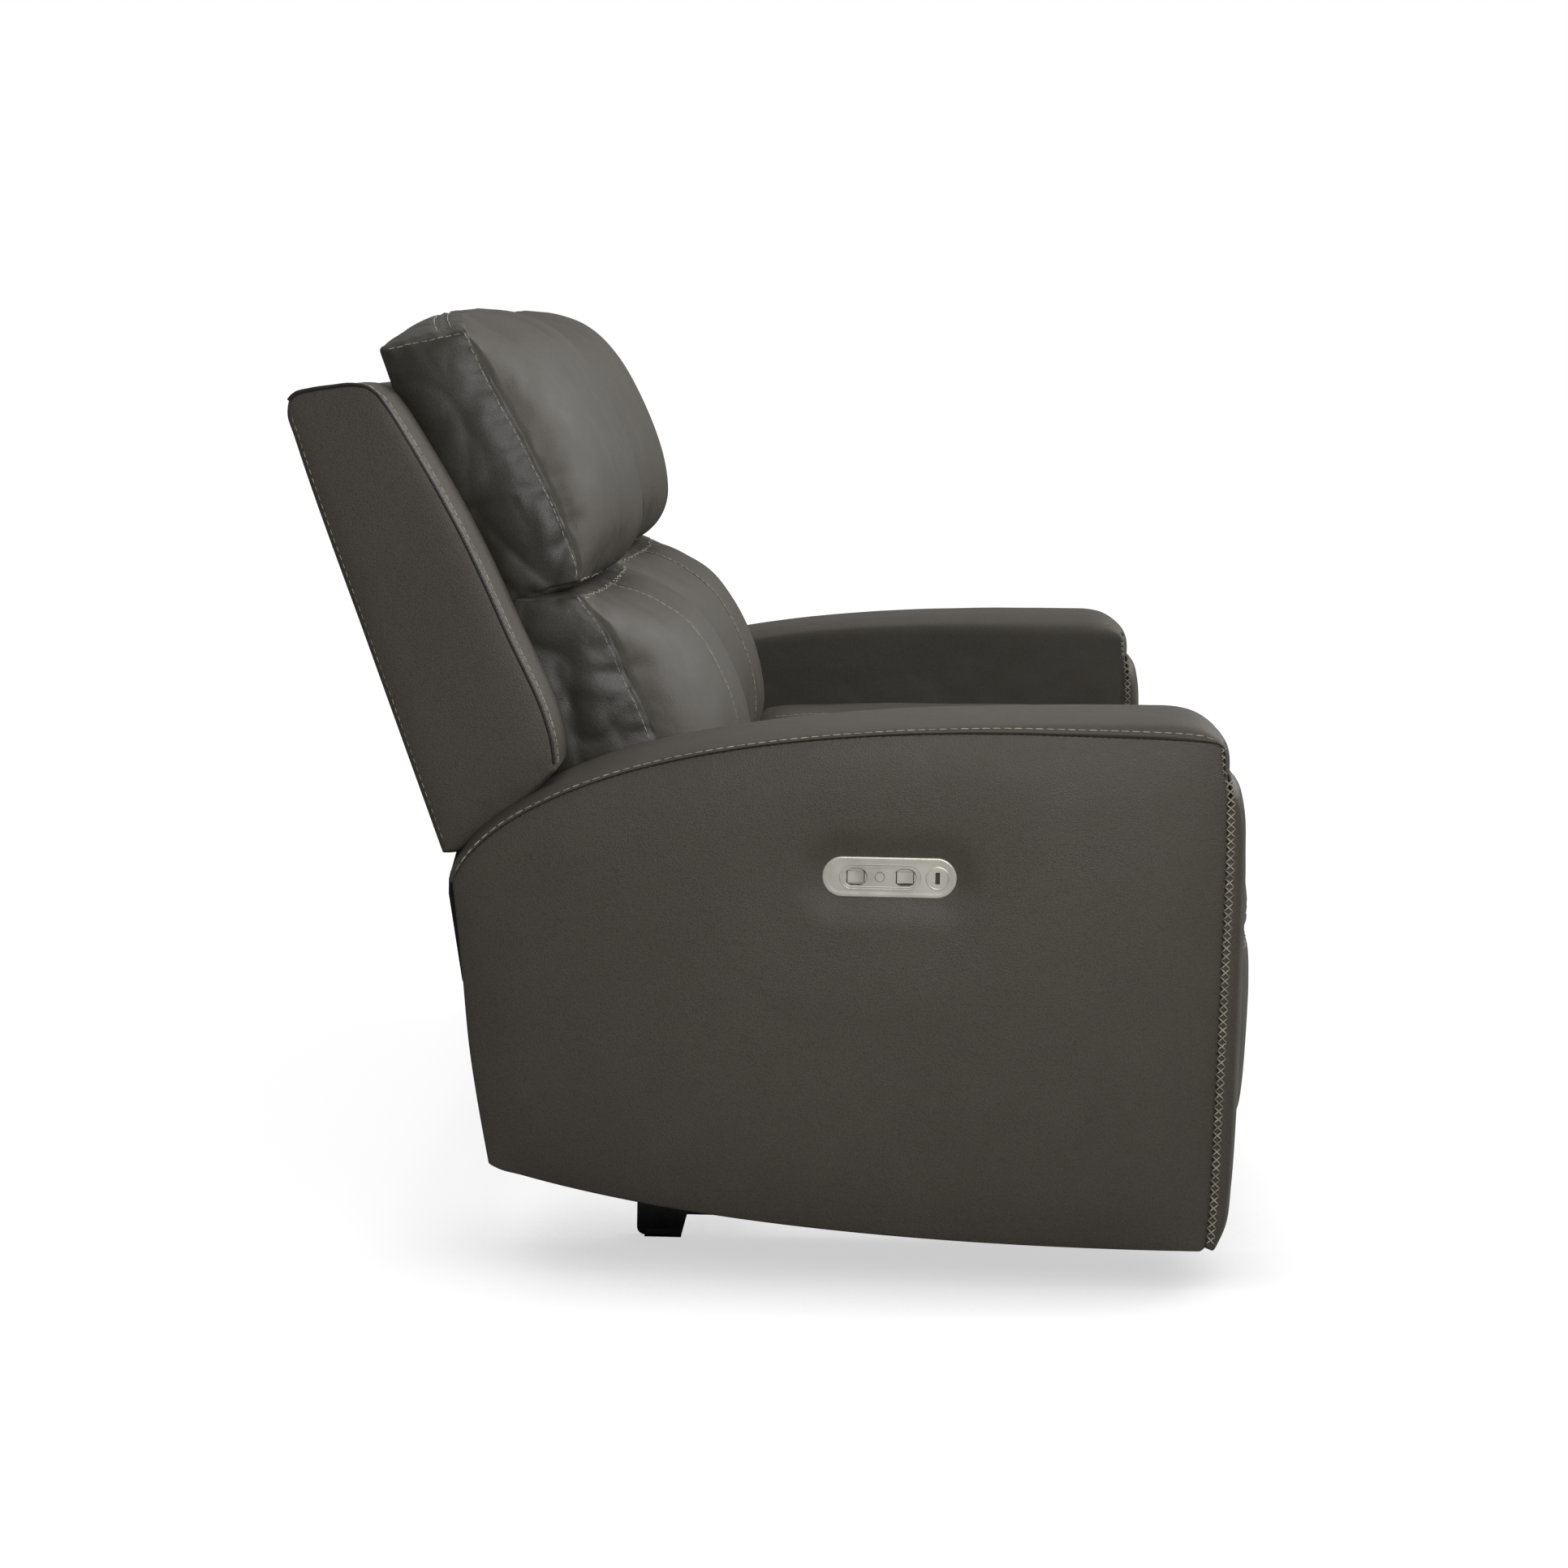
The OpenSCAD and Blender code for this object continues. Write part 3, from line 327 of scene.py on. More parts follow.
@dataclass(frozen=True)
class Wood(Finish):
    """Sawn plywood, with stretched grain."""

    late: Colour = (0.62, 0.46, 0.28)
    grain_axis: tuple[float, float, float] = (1.0, 1.0, 14.0)

    def dress(self, nodes: Nodes, shader: bpy.types.Node, where: Socket) -> None:
        """Adds stretched grain and a ring figure.

        Args:
            nodes: The material's nodes.
            shader: Its shader.
            where: Place on the object.
        """
        long = nodes.add("ShaderNodeMapping", {"Vector": where, "Scale": self.grain_axis})
        grain = nodes.noise(long.outputs[0], 9.0, 6, 0.65)
        rings = nodes.add("ShaderNodeTexWave", {"Vector": long.outputs[0], "Scale": 2.4,
                          "Distortion": 5.0, "Detail": 3.0}, wave_type="RINGS").outputs["Fac"]
        share = nodes.maths("ADD", nodes.maths("MULTIPLY", grain, 0.7),
                            nodes.maths("MULTIPLY", rings, 0.35))
        colour = nodes.blend(nodes.ramp(share, 0.3, 0.8), rgba(self.colour), rgba(self.late))
        rough = nodes.ramp(grain, 0.2, 0.8, self.roughness - 0.08, self.roughness + 0.1)
        self.wire(nodes, shader, Base_Color=colour, Roughness=rough,
                  Normal=nodes.bump(grain, 0.0006))


@dataclass(frozen=True)
class BackFrame(Wood):
    """The back frame's one node: a wooden board, dark cloth and steel ears."""

    cloth: Colour = (0.055, 0.055, 0.058)
    steel: Colour = (0.33, 0.34, 0.35)
    apron_front: float = 0.35330
    apron_top: float = 0.4445
    cover_foot: float = 0.6900
    board_face: float = -0.34146 + 0.15512 + 0.0931

    def dress(self, nodes: Nodes, shader: bpy.types.Node, where: Socket) -> None:
        """Adds wood, then cloth below and behind the head, then steel ahead of the board.

        Args:
            nodes: The material's nodes.
            shader: Its shader.
            where: Place on the object.
        """
        super().dress(nodes, shader, where)
        wood = shader.inputs["Base Color"].links[0].from_socket
        place = nodes.add("ShaderNodeSeparateXYZ", {0: where}).outputs
        behind = nodes.maths("GREATER_THAN", place[1], self.apron_front)
        below = nodes.maths("LESS_THAN", place[2], self.apron_top)
        upper = nodes.maths("GREATER_THAN", place[2], self.cover_foot)
        covered = nodes.maths("MAXIMUM", nodes.maths("MULTIPLY", behind, below), upper)
        ahead = nodes.add("ShaderNodeVectorMath", {0: where, 1: (0.0, -0.93728, 0.34857)},
                          operation="DOT_PRODUCT").outputs["Value"]
        ears = nodes.maths("GREATER_THAN", ahead, self.board_face)
        weave = nodes.add("ShaderNodeTexWave", {"Vector": where, "Scale": 140.0},
                          bands_direction="X").outputs["Fac"]
        cloth = nodes.blend(weave, rgba(self.cloth, 0.6), rgba(self.cloth))
        colour = nodes.blend(ears, nodes.blend(covered, wood, cloth), rgba(self.steel))
        self.wire(nodes, shader, Base_Color=colour)


@dataclass(frozen=True)
class Metal(Finish):
    """Painted or plated steel."""

    brush: tuple[float, float, float] = (40.0, 40.0, 40.0)
    ripple: float = 0.00006

    def dress(self, nodes: Nodes, shader: bpy.types.Node, where: Socket) -> None:
        """Adds paint ripple, handling marks and a little dust.

        Args:
            nodes: The material's nodes.
            shader: Its shader.
            where: Place on the object.
        """
        long = nodes.add("ShaderNodeMapping", {"Vector": where, "Scale": self.brush}).outputs[0]
        fine = nodes.noise(long, 9.0, 4, 0.6)
        marks = nodes.noise(where, 23.0, 5, 0.7)
        rough = nodes.ramp(marks, 0.35, 0.7, self.roughness - 0.06, self.roughness + 0.12)
        colour = nodes.blend(nodes.ramp(marks, 0.4, 0.75), rgba(self.colour),
                             rgba(self.colour, 1.25, 0.02))
        self.wire(nodes, shader, Base_Color=colour, Roughness=rough,
                  Normal=nodes.bump(fine, self.ripple))


@dataclass(frozen=True)
class TwoTone(Finish):
    """A finish of a frame piece made of two materials, split by a plane.

    The second starts past the plane where sign is 1, before it where sign is -1,
    and on both sides of the middle where sign is 0.
    """

    first: Optional[Finish] = None
    second: Optional[Finish] = None
    axis: str = "X"
    sign: float = 1.0
    split: float = 0.0

    def dress(self, nodes: Nodes, shader: bpy.types.Node, where: Socket) -> None:
        """Adds both colours and a little wear, the second past the plane.

        Args:
            nodes: The material's nodes.
            shader: Its shader.
            where: Place on the object.
        """
        place = nodes.add("ShaderNodeSeparateXYZ", {0: where}).outputs[self.axis]
        if self.sign == 0:
            place = nodes.maths("ABSOLUTE", place)
        past = nodes.maths("LESS_THAN" if self.sign < 0 else "GREATER_THAN", place, self.split)
        marks = nodes.noise(where, 23.0, 5, 0.7)
        colour = nodes.blend(past, rgba(self.first.colour), rgba(self.second.colour))
        colour = nodes.blend(nodes.ramp(marks, 0.4, 0.8, 0.0, 0.3), colour,
                             (0.02, 0.02, 0.02, 1.0))
        rough = nodes.ramp(past, 0, 1, self.first.roughness, self.second.roughness)
        self.wire(nodes, shader, Base_Color=colour, Roughness=rough,
                  Normal=nodes.bump(marks, 0.0001))


@dataclass(frozen=True)
class Plastic(Finish):
    """Moulded plastic with a spark-eroded texture."""

    texture: float = 2600.0
    depth: float = 0.00008

    def dress(self, nodes: Nodes, shader: bpy.types.Node, where: Socket) -> None:
        """Adds the mould's texture and slight changes of gloss.

        Args:
            nodes: The material's nodes.
            shader: Its shader.
            where: Place on the object.
        """
        fine = nodes.noise(where, self.texture, 2, 0.6)
        drift = nodes.noise(where, 30.0, 3)
        rough = nodes.ramp(drift, 0.3, 0.7, self.roughness - 0.05, self.roughness + 0.06)
        colour = nodes.blend(nodes.ramp(drift, 0.3, 0.7), rgba(self.colour),
                             rgba(self.colour, 1.08, 0.005))
        self.wire(nodes, shader, Base_Color=colour, Roughness=rough,
                  Normal=nodes.bump(fine, self.depth))


GRAINED = Leather("grained_leather", (0.262, 0.242, 0.211), 0.5, crest=(0.292, 0.272, 0.240),
                  grain=620.0, grain_depth=0.00030, crease=60.0, crease_depth=0.0003)
SMOOTH = Leather("smooth_leather", (0.253, 0.236, 0.206), 0.58, crest=(0.292, 0.276, 0.245),
                 grain=900.0, grain_depth=0.00012, crease=34.0, crease_depth=0.0007)
# Painted shade: a darker copy of the smooth leather for the back cushions' side gussets, which lie
# in shade.
SHADED_GUSSET = Leather("gusset_leather", (0.186, 0.173, 0.149), 0.43, crest=(0.218, 0.204, 0.178),
                 grain=900.0, grain_depth=0.00012, crease=34.0, crease_depth=0.0007, shine=0.5)
PIPING = Leather("piping_leather", (0.12, 0.11, 0.1), 0.5, crest=(0.16, 0.15, 0.135),
                 grain=900.0, grain_depth=0.0002)
BLACK_CLOTH = Cloth("black_cloth", (0.06, 0.06, 0.062), 0.9)
PLY = Wood("plywood", (0.66, 0.54, 0.38), 0.6)
BACK_PARTS = BackFrame("back_frame", (0.76, 0.62, 0.43), 0.6)
BLACK_STEEL = Metal("black_steel", (0.05, 0.05, 0.052), 0.22)
GREY_STEEL = Metal("grey_steel", (0.36, 0.37, 0.38), 0.35)
ZINC_STEEL = Metal("zinc_steel", (0.76, 0.77, 0.79), 0.3, 1.0, brush=(90.0, 9.0, 90.0))
BLACK_PLASTIC = Plastic("black_plastic", (0.09, 0.09, 0.095), 0.5)
SATIN_SILVER = Plastic("satin_silver", (0.72, 0.71, 0.67), 0.32, 0.45, texture=3800.0,
                       depth=0.00002)
LIGHT_THREAD = Thread("light_thread", (0.66, 0.64, 0.57), 0.7)
DARK_THREAD = Thread("dark_thread", (0.06, 0.055, 0.05), 0.7)

NODE_FINISHES = {
    "control_modules": TwoTone("control_module", (0.3, 0.3, 0.3), 0.4, first=BLACK_PLASTIC,
                               second=SATIN_SILVER, sign=0, split=0.7850),
    "footrest_board": TwoTone("footrest_board", (0.7, 0.6, 0.4), 0.5, first=PLY, second=GREY_STEEL,
                              axis="Y", sign=1, split=-0.4549),
    "recline_motor": TwoTone("recline_motor", (0.1, 0.1, 0.1), 0.45, first=BLACK_PLASTIC,
                             second=GREY_STEEL, axis="Y", sign=-1, split=0.0699),
    "back_frame": BACK_PARTS,
    "rear_rail": BLACK_CLOTH,
}

FRAME_FINISHES = {finish.name: finish for finish in (
    BLACK_CLOTH, PLY, BLACK_STEEL, GREY_STEEL, ZINC_STEEL, BLACK_PLASTIC, SATIN_SILVER, GRAINED,
    SMOOTH)}


# ---------------------------------------------------------------- shapes


def smooth_step(value: Array, low: float, high: float) -> Array:
    """Returns 0 below low, 1 above high and a smooth rise between."""
    t = np.clip((value - low) / (high - low), 0, 1)
    return t * t * (3 - 2 * t)


def crest(share: Array, power: float) -> Array:
    """Returns a pillow's height across it, from 0 at a seam to 1 in the middle."""
    return (1 - np.abs(np.clip(share, 0, 1) * 2 - 1) ** power) ** (1.25 / power)


def plateau(share: Array, power: float) -> Array:
    """Returns a tight cover's height across it: 1 over most of it, 0 at its edges."""
    return 1 - np.abs(share * 2 - 1) ** power


def groove(away: Array, depth: float, width: float) -> Array:
    """Returns a groove's depth at a distance from its middle."""
    return depth * np.exp(-((away / width) ** 2))


class Path:
    """A smooth curve in the side plane, run through by its share of length."""

    def __init__(self, points: Points, smooth: bool = True) -> None:
        """Fits the curve.

        Args:
            points: The places that it passes through, (y, z) in metres.
            smooth: False joins them by straight lines.
        """
        samples = 400
        p = np.array(points, float)
        if smooth and len(p) > 2:
            step = np.linalg.norm(np.diff(p, axis=0), axis=1)
            knot = np.concatenate([[0], np.cumsum(step)])
            slope = np.gradient(p, knot, axis=0)
            at = np.linspace(0, knot[-1], samples)
            i = np.clip(np.searchsorted(knot, at, "right") - 1, 0, len(step) - 1)
            h = step[i][:, None]
            t = ((at - knot[i]) / step[i])[:, None]
            p = ((2 * t**3 - 3 * t**2 + 1) * p[i] + (t**3 - 2 * t**2 + t) * h * slope[i]
                 + (3 * t**2 - 2 * t**3) * p[i + 1] + (t**3 - t**2) * h * slope[i + 1])
        self.points = p
        self.run = np.concatenate([[0], np.cumsum(np.linalg.norm(np.diff(p, axis=0), axis=1))])
        self.length = float(self.run[-1])

    def at(self, share: Array) -> Array:
        """Finds places on the curve.

        Args:
            share: Shares of its length, which may pass its ends.

        Returns:
            The (y, z) places.
        """
        share = np.asarray(share, float)
        run = np.clip(share, 0, 1) * self.length
        place = np.stack([np.interp(run, self.run, self.points[:, k]) for k in (0, 1)], -1)
        first = self.points[1] - self.points[0]
        last = self.points[-1] - self.points[-2]
        over = (np.minimum(share, 0)[..., None] * first / np.linalg.norm(first)
                + np.maximum(share - 1, 0)[..., None] * last / np.linalg.norm(last))
        return place + over * self.length


class Clouds:
    """Smooth noise in space, the same each run."""

    def __init__(self, seed: int) -> None:
        """Draws the noise's slopes from the seed.

        Args:
            seed: The seed.
        """
        rng = np.random.default_rng(seed)
        self.order = rng.permutation(256)
        slope = rng.normal(size=(256, 3))
        self.slope = slope / np.linalg.norm(slope, axis=1, keepdims=True)

    def at(self, p: Array) -> Array:
        """Works out the noise.

        Args:
            p: Places, in the noise's cells.

        Returns:
            The noise at each, from about -1 to 1.
        """
        cell = np.floor(p).astype(int)
        f = p - cell
        u = f**3 * (f * (f * 6 - 15) + 10)
        total = np.zeros(len(p))
        for corner in product((0, 1), repeat=3):
            h = np.zeros(len(p), int)
            weight = np.ones(len(p))
            for k, step in enumerate(corner):
                h = self.order[(h + cell[:, k] + step) & 255]
                weight *= u[:, k] if step else 1 - u[:, k]
            total += weight * ((f - corner) * self.slope[h]).sum(1)
        return total * 1.6

    def billow(self, p: Array, octaves: int = 3) -> Array:
        """Returns layered noise from about -1 to 1."""
        return sum(self.at(p * 2.03**k + 7.1 * k) * 0.5**k for k in range(octaves)) / 1.5

    def folds(self, p: Array, octaves: int = 3) -> Array:
        """Returns sharp folds from 0 in the flats to 1 on the fold lines."""
        return sum((1 - np.abs(self.at(p * 1.9**k + 3.7 * k))) ** 5 * 0.55**k
                   for k in range(octaves)) / 1.6


def ruler(length: float, radius: float, cells: int, arc: int, seams: Sequence[float]) -> Array:
    """Returns lattice places along one side of a block.

    Args:
        length: The side's length.
        radius: Radius of its two ends, where the places stand so that they round evenly.
        cells: Even cells between the ends.
        arc: Cells within each end.
        seams: Places of seams, which get closer cells.

    Returns:
        The places, rising from 0 to length.
    """
    beside, clear = (-0.007, -0.003, 0.0, 0.003, 0.007), 0.0095
    ends = radius * (1 - np.tan(np.linspace(np.pi / 4, 0, arc + 1)))
    middle = np.linspace(radius, length - radius, cells + 1)
    if seams:
        keep = np.abs(middle[:, None] - np.array(seams)[None]).min(1) > clear
        keep |= (middle == middle[0]) | (middle == middle[-1])
        middle = np.sort(np.concatenate([middle[keep], [s + d for s in seams for d in beside]]))
    return np.concatenate([ends[:-1], middle, (length - ends[:-1])[::-1]])


@dataclass
class Block:
    """A closed block with round edges, whose skin is a lattice.

    With outline set, the four corners of the a-b rectangle are left square, for
    a block whose outline runs smoothly through them.
    """

    size: tuple[float, float, float]
    radius: tuple[float, float, float]
    cells: tuple[int, int, int]
    seams: tuple[Sequence[float], ...] = ((), (), ())
    arc: int = 3
    outline: bool = False

    def skin(self) -> tuple[Array, Array, Array]:
        """Makes the lattice.

        Returns:
            Its rounded places, its places before the rounding, and its quads.
        """
        rulers = [ruler(*sizes) for sizes in
                  zip(self.size, self.radius, self.cells, (self.arc,) * 3, self.seams)]
        count = np.array([len(r) for r in rulers])
        stride = np.array([1, count[0], count[0] * count[1]])
        quads = []
        for axis in range(3):
            b, c = (axis + 1) % 3, (axis + 2) % 3
            i, j = (g.ravel() for g in
                    np.meshgrid(np.arange(count[b] - 1), np.arange(count[c] - 1)))
            for end in (0, count[axis] - 1):
                corners = [end * stride[axis] + (i + di) * stride[b] + (j + dj) * stride[c]
                           for di, dj in ((0, 0), (1, 0), (1, 1), (0, 1))]
                quads.append(np.stack(corners if end else corners[::-1], 1))
        used, quads = np.unique(np.concatenate(quads), return_inverse=True)
        quads = quads.reshape(-1, 4)
        flat = np.stack([rulers[k][(used // stride[k]) % count[k]] for k in range(3)], 1)
        size, radius = np.array(self.size), np.array(self.radius)
        core = np.clip(flat, radius, size - radius)
        out = (flat - core) / radius
        reach = np.linalg.norm(out, axis=1, keepdims=True)
        if self.outline:
            reach = np.hypot(np.abs(out[:, :2]).max(1), out[:, 2])[:, None]
        return core + radius * out / np.maximum(reach, 1e-9), flat, quads

    def shares(self) -> tuple[Array, Array, Array]:
        """Returns the rounded places, their shares of the block's size, and the quads."""
        rounded, _, quads = self.skin()
        return rounded, rounded / np.array(self.size), quads


def volume_of(places: Array, quads: Array) -> float:
    """Returns a closed skin's volume, below zero if it is inside out."""
    a, b, c, d = (places[quads[:, k]] for k in range(4))
    return float(sum((a * np.cross(*two)).sum() for two in ((b, c), (c, d))) / 6)


def make_piece(name: str, places: Array, quads: Array,
               flat: Optional[Array] = None) -> bpy.types.Object:
    """Makes an object from a skin, with its faces outwards.

    Args:
        name: The piece's name.
        places: Vertex places.
        quads: Corner numbers of each face.
        flat: Lattice places to keep on the vertices, if any.

    Returns:
        The new object.
    """
    if volume_of(places, quads) < 0:
        quads = quads[:, ::-1]
    mesh = bpy.data.meshes.new(name)
    mesh.from_pydata(places.tolist(), [], quads.tolist())
    if flat is not None:
        keep_vectors(mesh, "lattice", flat)
    mesh.shade_smooth()
    return place_object(name, mesh)


def keep_vectors(mesh: bpy.types.Mesh, name: str, values: Array) -> None:
    """Keeps a vector on each vertex of a mesh."""
    mesh.attributes.new(name, "FLOAT_VECTOR", "POINT").data.foreach_set(
        "vector", values.astype(np.float32).ravel())


def vectors_of(items: bpy.types.bpy_prop_collection, key: str = "vector") -> Array:
    """Reads the vector that each item of a mesh's list holds.

    Args:
        items: Vertices, normals or an attribute's values.
        key: Which of an item's fields holds it.

    Returns:
        The vectors.
    """
    flat = np.zeros(len(items) * 3, np.float32)
    items.foreach_get(key, flat)
    return flat.reshape(-1, 3).astype(float)


def move_to(piece: bpy.types.Object, places: Array) -> None:
    """Puts a piece's vertices at those places."""
    piece.data.vertices.foreach_set("co", places.astype(np.float32).ravel())
    piece.data.update()


def lattice_of(piece: bpy.types.Object) -> Array:
    """Returns the lattice places kept on a piece's vertices."""
    return vectors_of(piece.data.attributes["lattice"].data)


def harden(piece: bpy.types.Object) -> None:
    """Replaces a piece's mesh by what its modifiers make of it, and drops them.

    Args:
        piece: The piece, which keeps its mesh's name.
    """
    graph = bpy.context.evaluated_depsgraph_get()
    mesh = bpy.data.meshes.new_from_object(piece.evaluated_get(graph))
    piece.modifiers.clear()
    old, piece.data = piece.data, mesh
    name = old.name
    bpy.data.meshes.remove(old)
    mesh.name = name


def refine(piece: bpy.types.Object) -> None:
    """Subdivides a piece smoothly, once.

    Args:
        piece: The piece.
    """
    step = piece.modifiers.new("subdivision", "SUBSURF")
    step.levels = step.render_levels = 1
    harden(piece)


def inflate(piece: bpy.types.Object, held: Array, cap: float, slack: float = 0.02,
            pressure: float = 4.0, frames: int = 20) -> None:
    """Swells a closed skin as filled leather does, with Blender's cloth.

    Args:
        piece: The skin, which keeps its vertex order.
        held: True for the vertices on seams and on what it rests on.
        cap: How far a vertex may move.
        slack: How much larger the leather is cut than the skin.
        pressure: Pressure of the filling.
        frames: How long it is given to swell.
    """
    rest = vectors_of(piece.data.vertices, "co")
    group = piece.vertex_groups.new(name="held")
    group.add(np.nonzero(held)[0].tolist(), 1.0, "REPLACE")
    cloth = piece.modifiers.new("cloth", "CLOTH")
    sets = cloth.settings
    sets.quality = 6
    sets.mass = 0.3
    sets.tension_stiffness = sets.compression_stiffness = 15
    sets.shear_stiffness = 6
    sets.bending_stiffness = 0.6
    sets.vertex_group_mass = "held"
    sets.shrink_min = -slack
    sets.use_pressure = True
    sets.uniform_pressure_force = pressure
    sets.effector_weights.gravity = 0
    cloth.collision_settings.use_collision = False
    cloth.point_cache.frame_start, cloth.point_cache.frame_end = 1, frames
    scene = bpy.context.scene
    for number in range(1, frames + 1):
        scene.frame_set(number)
    graph = bpy.context.evaluated_depsgraph_get()
    step = vectors_of(piece.evaluated_get(graph).data.vertices, "co") - rest
    far = np.linalg.norm(step, axis=1, keepdims=True)
    step *= np.tanh(far / cap) * cap / np.maximum(far, 1e-9)
    most = 1000 * np.linalg.norm(step, axis=1).max()
    LOG.info("%s swelled by %.1f mm at most", piece.name, most)
    piece.modifiers.clear()
    piece.vertex_groups.clear()
    scene.frame_set(1)
    move_to(piece, rest + step)


def finish_piece(piece: bpy.types.Object, finish: Finish, body: str,
                 replaces: Sequence[str] = ()) -> None:
    """Gives a piece its finish and its body.

    Args:
        piece: The piece.
        finish: Its finish.
        body: The body that it rides on.
        replaces: The frame's nodes that the piece stands for.
    """
    piece.data.materials.clear()
    piece.data.materials.append(finish.material())
    if replaces:
        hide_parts(*replaces)
    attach(piece, body)
    LOG.info("%s: %d faces on %s", piece.name, len(piece.data.polygons), body)


def upholster(name: str, places: Array, quads: Array, finish: Finish, body: str,
              replaces: Sequence[str] = ()) -> bpy.types.Object:
    """Makes a piece of leather from a skin.

    Args:
        name: The piece's name.
        places: Vertex places of the skin.
        quads: Corner numbers of each face.
        finish: The leather.
        body: The body that the piece rides on.
        replaces: The frame's nodes that it stands for.

    Returns:
        The finished piece.
    """
    piece = make_piece(name, places, quads)
    refine(piece)
    finish_piece(piece, finish, body, replaces)
    return piece


# ---------------------------------------------------------------- geometry trees


def start_group(name: str, inputs: dict[str, str]) -> tuple[Nodes, bpy.types.NodeOutputs]:
    """Starts a geometry tree.

    Args:
        name: The tree's name.
        inputs: Its inputs beside the geometry, each with the last word of its socket type.

    Returns:
        The tree's nodes and the sockets of its inputs.
    """
    tree = bpy.data.node_groups.new(name, "GeometryNodeTree")
    nodes = Nodes(tree)
    for label, kind in {"Geometry": "Geometry", **inputs}.items():
        tree.interface.new_socket(name=label, in_out="INPUT", socket_type="NodeSocket" + kind)
    tree.interface.new_socket(name="Geometry", in_out="OUTPUT", socket_type="NodeSocketGeometry")
    return nodes, nodes.add("NodeGroupInput").outputs


def end_group(nodes: Nodes, shape: Socket, finish: Socket) -> bpy.types.NodeTree:
    """Ends a geometry tree in real geometry with its material.

    Args:
        nodes: The tree's nodes.
        shape: What it has made.
        finish: The material.

    Returns:
        The tree.
    """
    real = nodes.add("GeometryNodeRealizeInstances", {0: shape})
    dyed = nodes.add("GeometryNodeSetMaterial", {0: real.outputs[0], "Material": finish})
    end = nodes.add("NodeGroupOutput")
    nodes.tree.links.new(dyed.outputs[0], end.inputs[0])
    return nodes.tree


def grow(name: str, mesh: bpy.types.Mesh, tree: bpy.types.NodeTree,
         **values: object) -> bpy.types.Object:
    """Makes a piece by running a geometry tree on a mesh, and bakes it.

    Args:
        name: The piece's name.
        mesh: The points or lines that the tree works on.
        tree: The tree.
        **values: The tree's inputs by name.

    Returns:
        The new object.
    """
    piece = place_object(name, mesh)
    step = piece.modifiers.new(tree.name, "NODES")
    step.node_group = tree
    for socket in tree.interface.items_tree:
        if socket.in_out == "INPUT" and socket.name in values:
            step[socket.identifier] = values[socket.name]
    harden(piece)
    piece.data.shade_smooth()
    return piece


# ---------------------------------------------------------------- thread


@dataclass(frozen=True)
class Seam:
    """How a seam is sewn: its stitches' sizes in metres, their kind and their thread."""

    pitch: float = 0.0088
    length: float = 0.0092
    thick: float = 0.0013
    kind: Stitch = Stitch.RUNNING
    finish: Finish = LIGHT_THREAD
    lift: float = 0.0002


CUSHION_EDGE = Seam()
CUSHION_PANEL = Seam(thick=0.0012)
GATHERED_EDGE = Seam(0.0060, 0.0062)
BACK_EDGE = Seam(0.0094, 0.0098, 0.0012)
WING_FRONT = Seam(0.0094, 0.0098, 0.0014)
WING_REAR = Seam(0.0094, 0.0076, 0.0008)
CAP_EDGE = Seam(0.0112, 0.0106)
CAP_SEAM = Seam(0.0076, 0.0058, finish=DARK_THREAD, lift=0.0003)
ARM_CROSSED = Seam(0.0087, 0.0150, 0.0015, Stitch.CROSS)
ARM_CROSSED_TOP = Seam(0.0062, 0.0088, kind=Stitch.CROSS)


@dataclass
class Row:
    """A row of stitches along a line, sewn into a surface.

    Where facing is not 0, the stitches lie on the line itself and face along X.
    """

    line: Array
    seam: Seam = CUSHION_EDGE
    facing: float = 0.0

    def places(self, surface: BVHTree) -> tuple[Array, Array, Array]:
        """Lays the stitches on the surface.

        Args:
            surface: The leather that they are sewn into.

        Returns:
            The stitches' middles, directions and outward directions.
        """
        reach = 0.002
        run = np.concatenate([[0], np.cumsum(np.linalg.norm(np.diff(self.line, axis=0), axis=1))])
        count = max(1, int(run[-1] / self.seam.pitch))
        at = (np.arange(count) + 0.5) * run[-1] / count
        spots, ahead, behind = (
            np.stack([np.interp(at + step, run, self.line[:, k]) for k in range(3)], 1)
            for step in (0.0, reach, -reach))
        middles, ways, outs = [], [], []
        for spot, way in zip(spots, ahead - behind):
            hit, out = surface.find_nearest(Vector(spot))[:2]
            if self.facing:
                hit, out = Vector(spot), Vector((self.facing, 0, 0))
            if hit is None or np.linalg.norm(way) < 1e-9:
                continue
            middles.append(hit + out * self.seam.lift)
            ways.append(way / np.linalg.norm(way))
            outs.append(out)
        return np.array(middles), np.array(ways), np.array(outs)


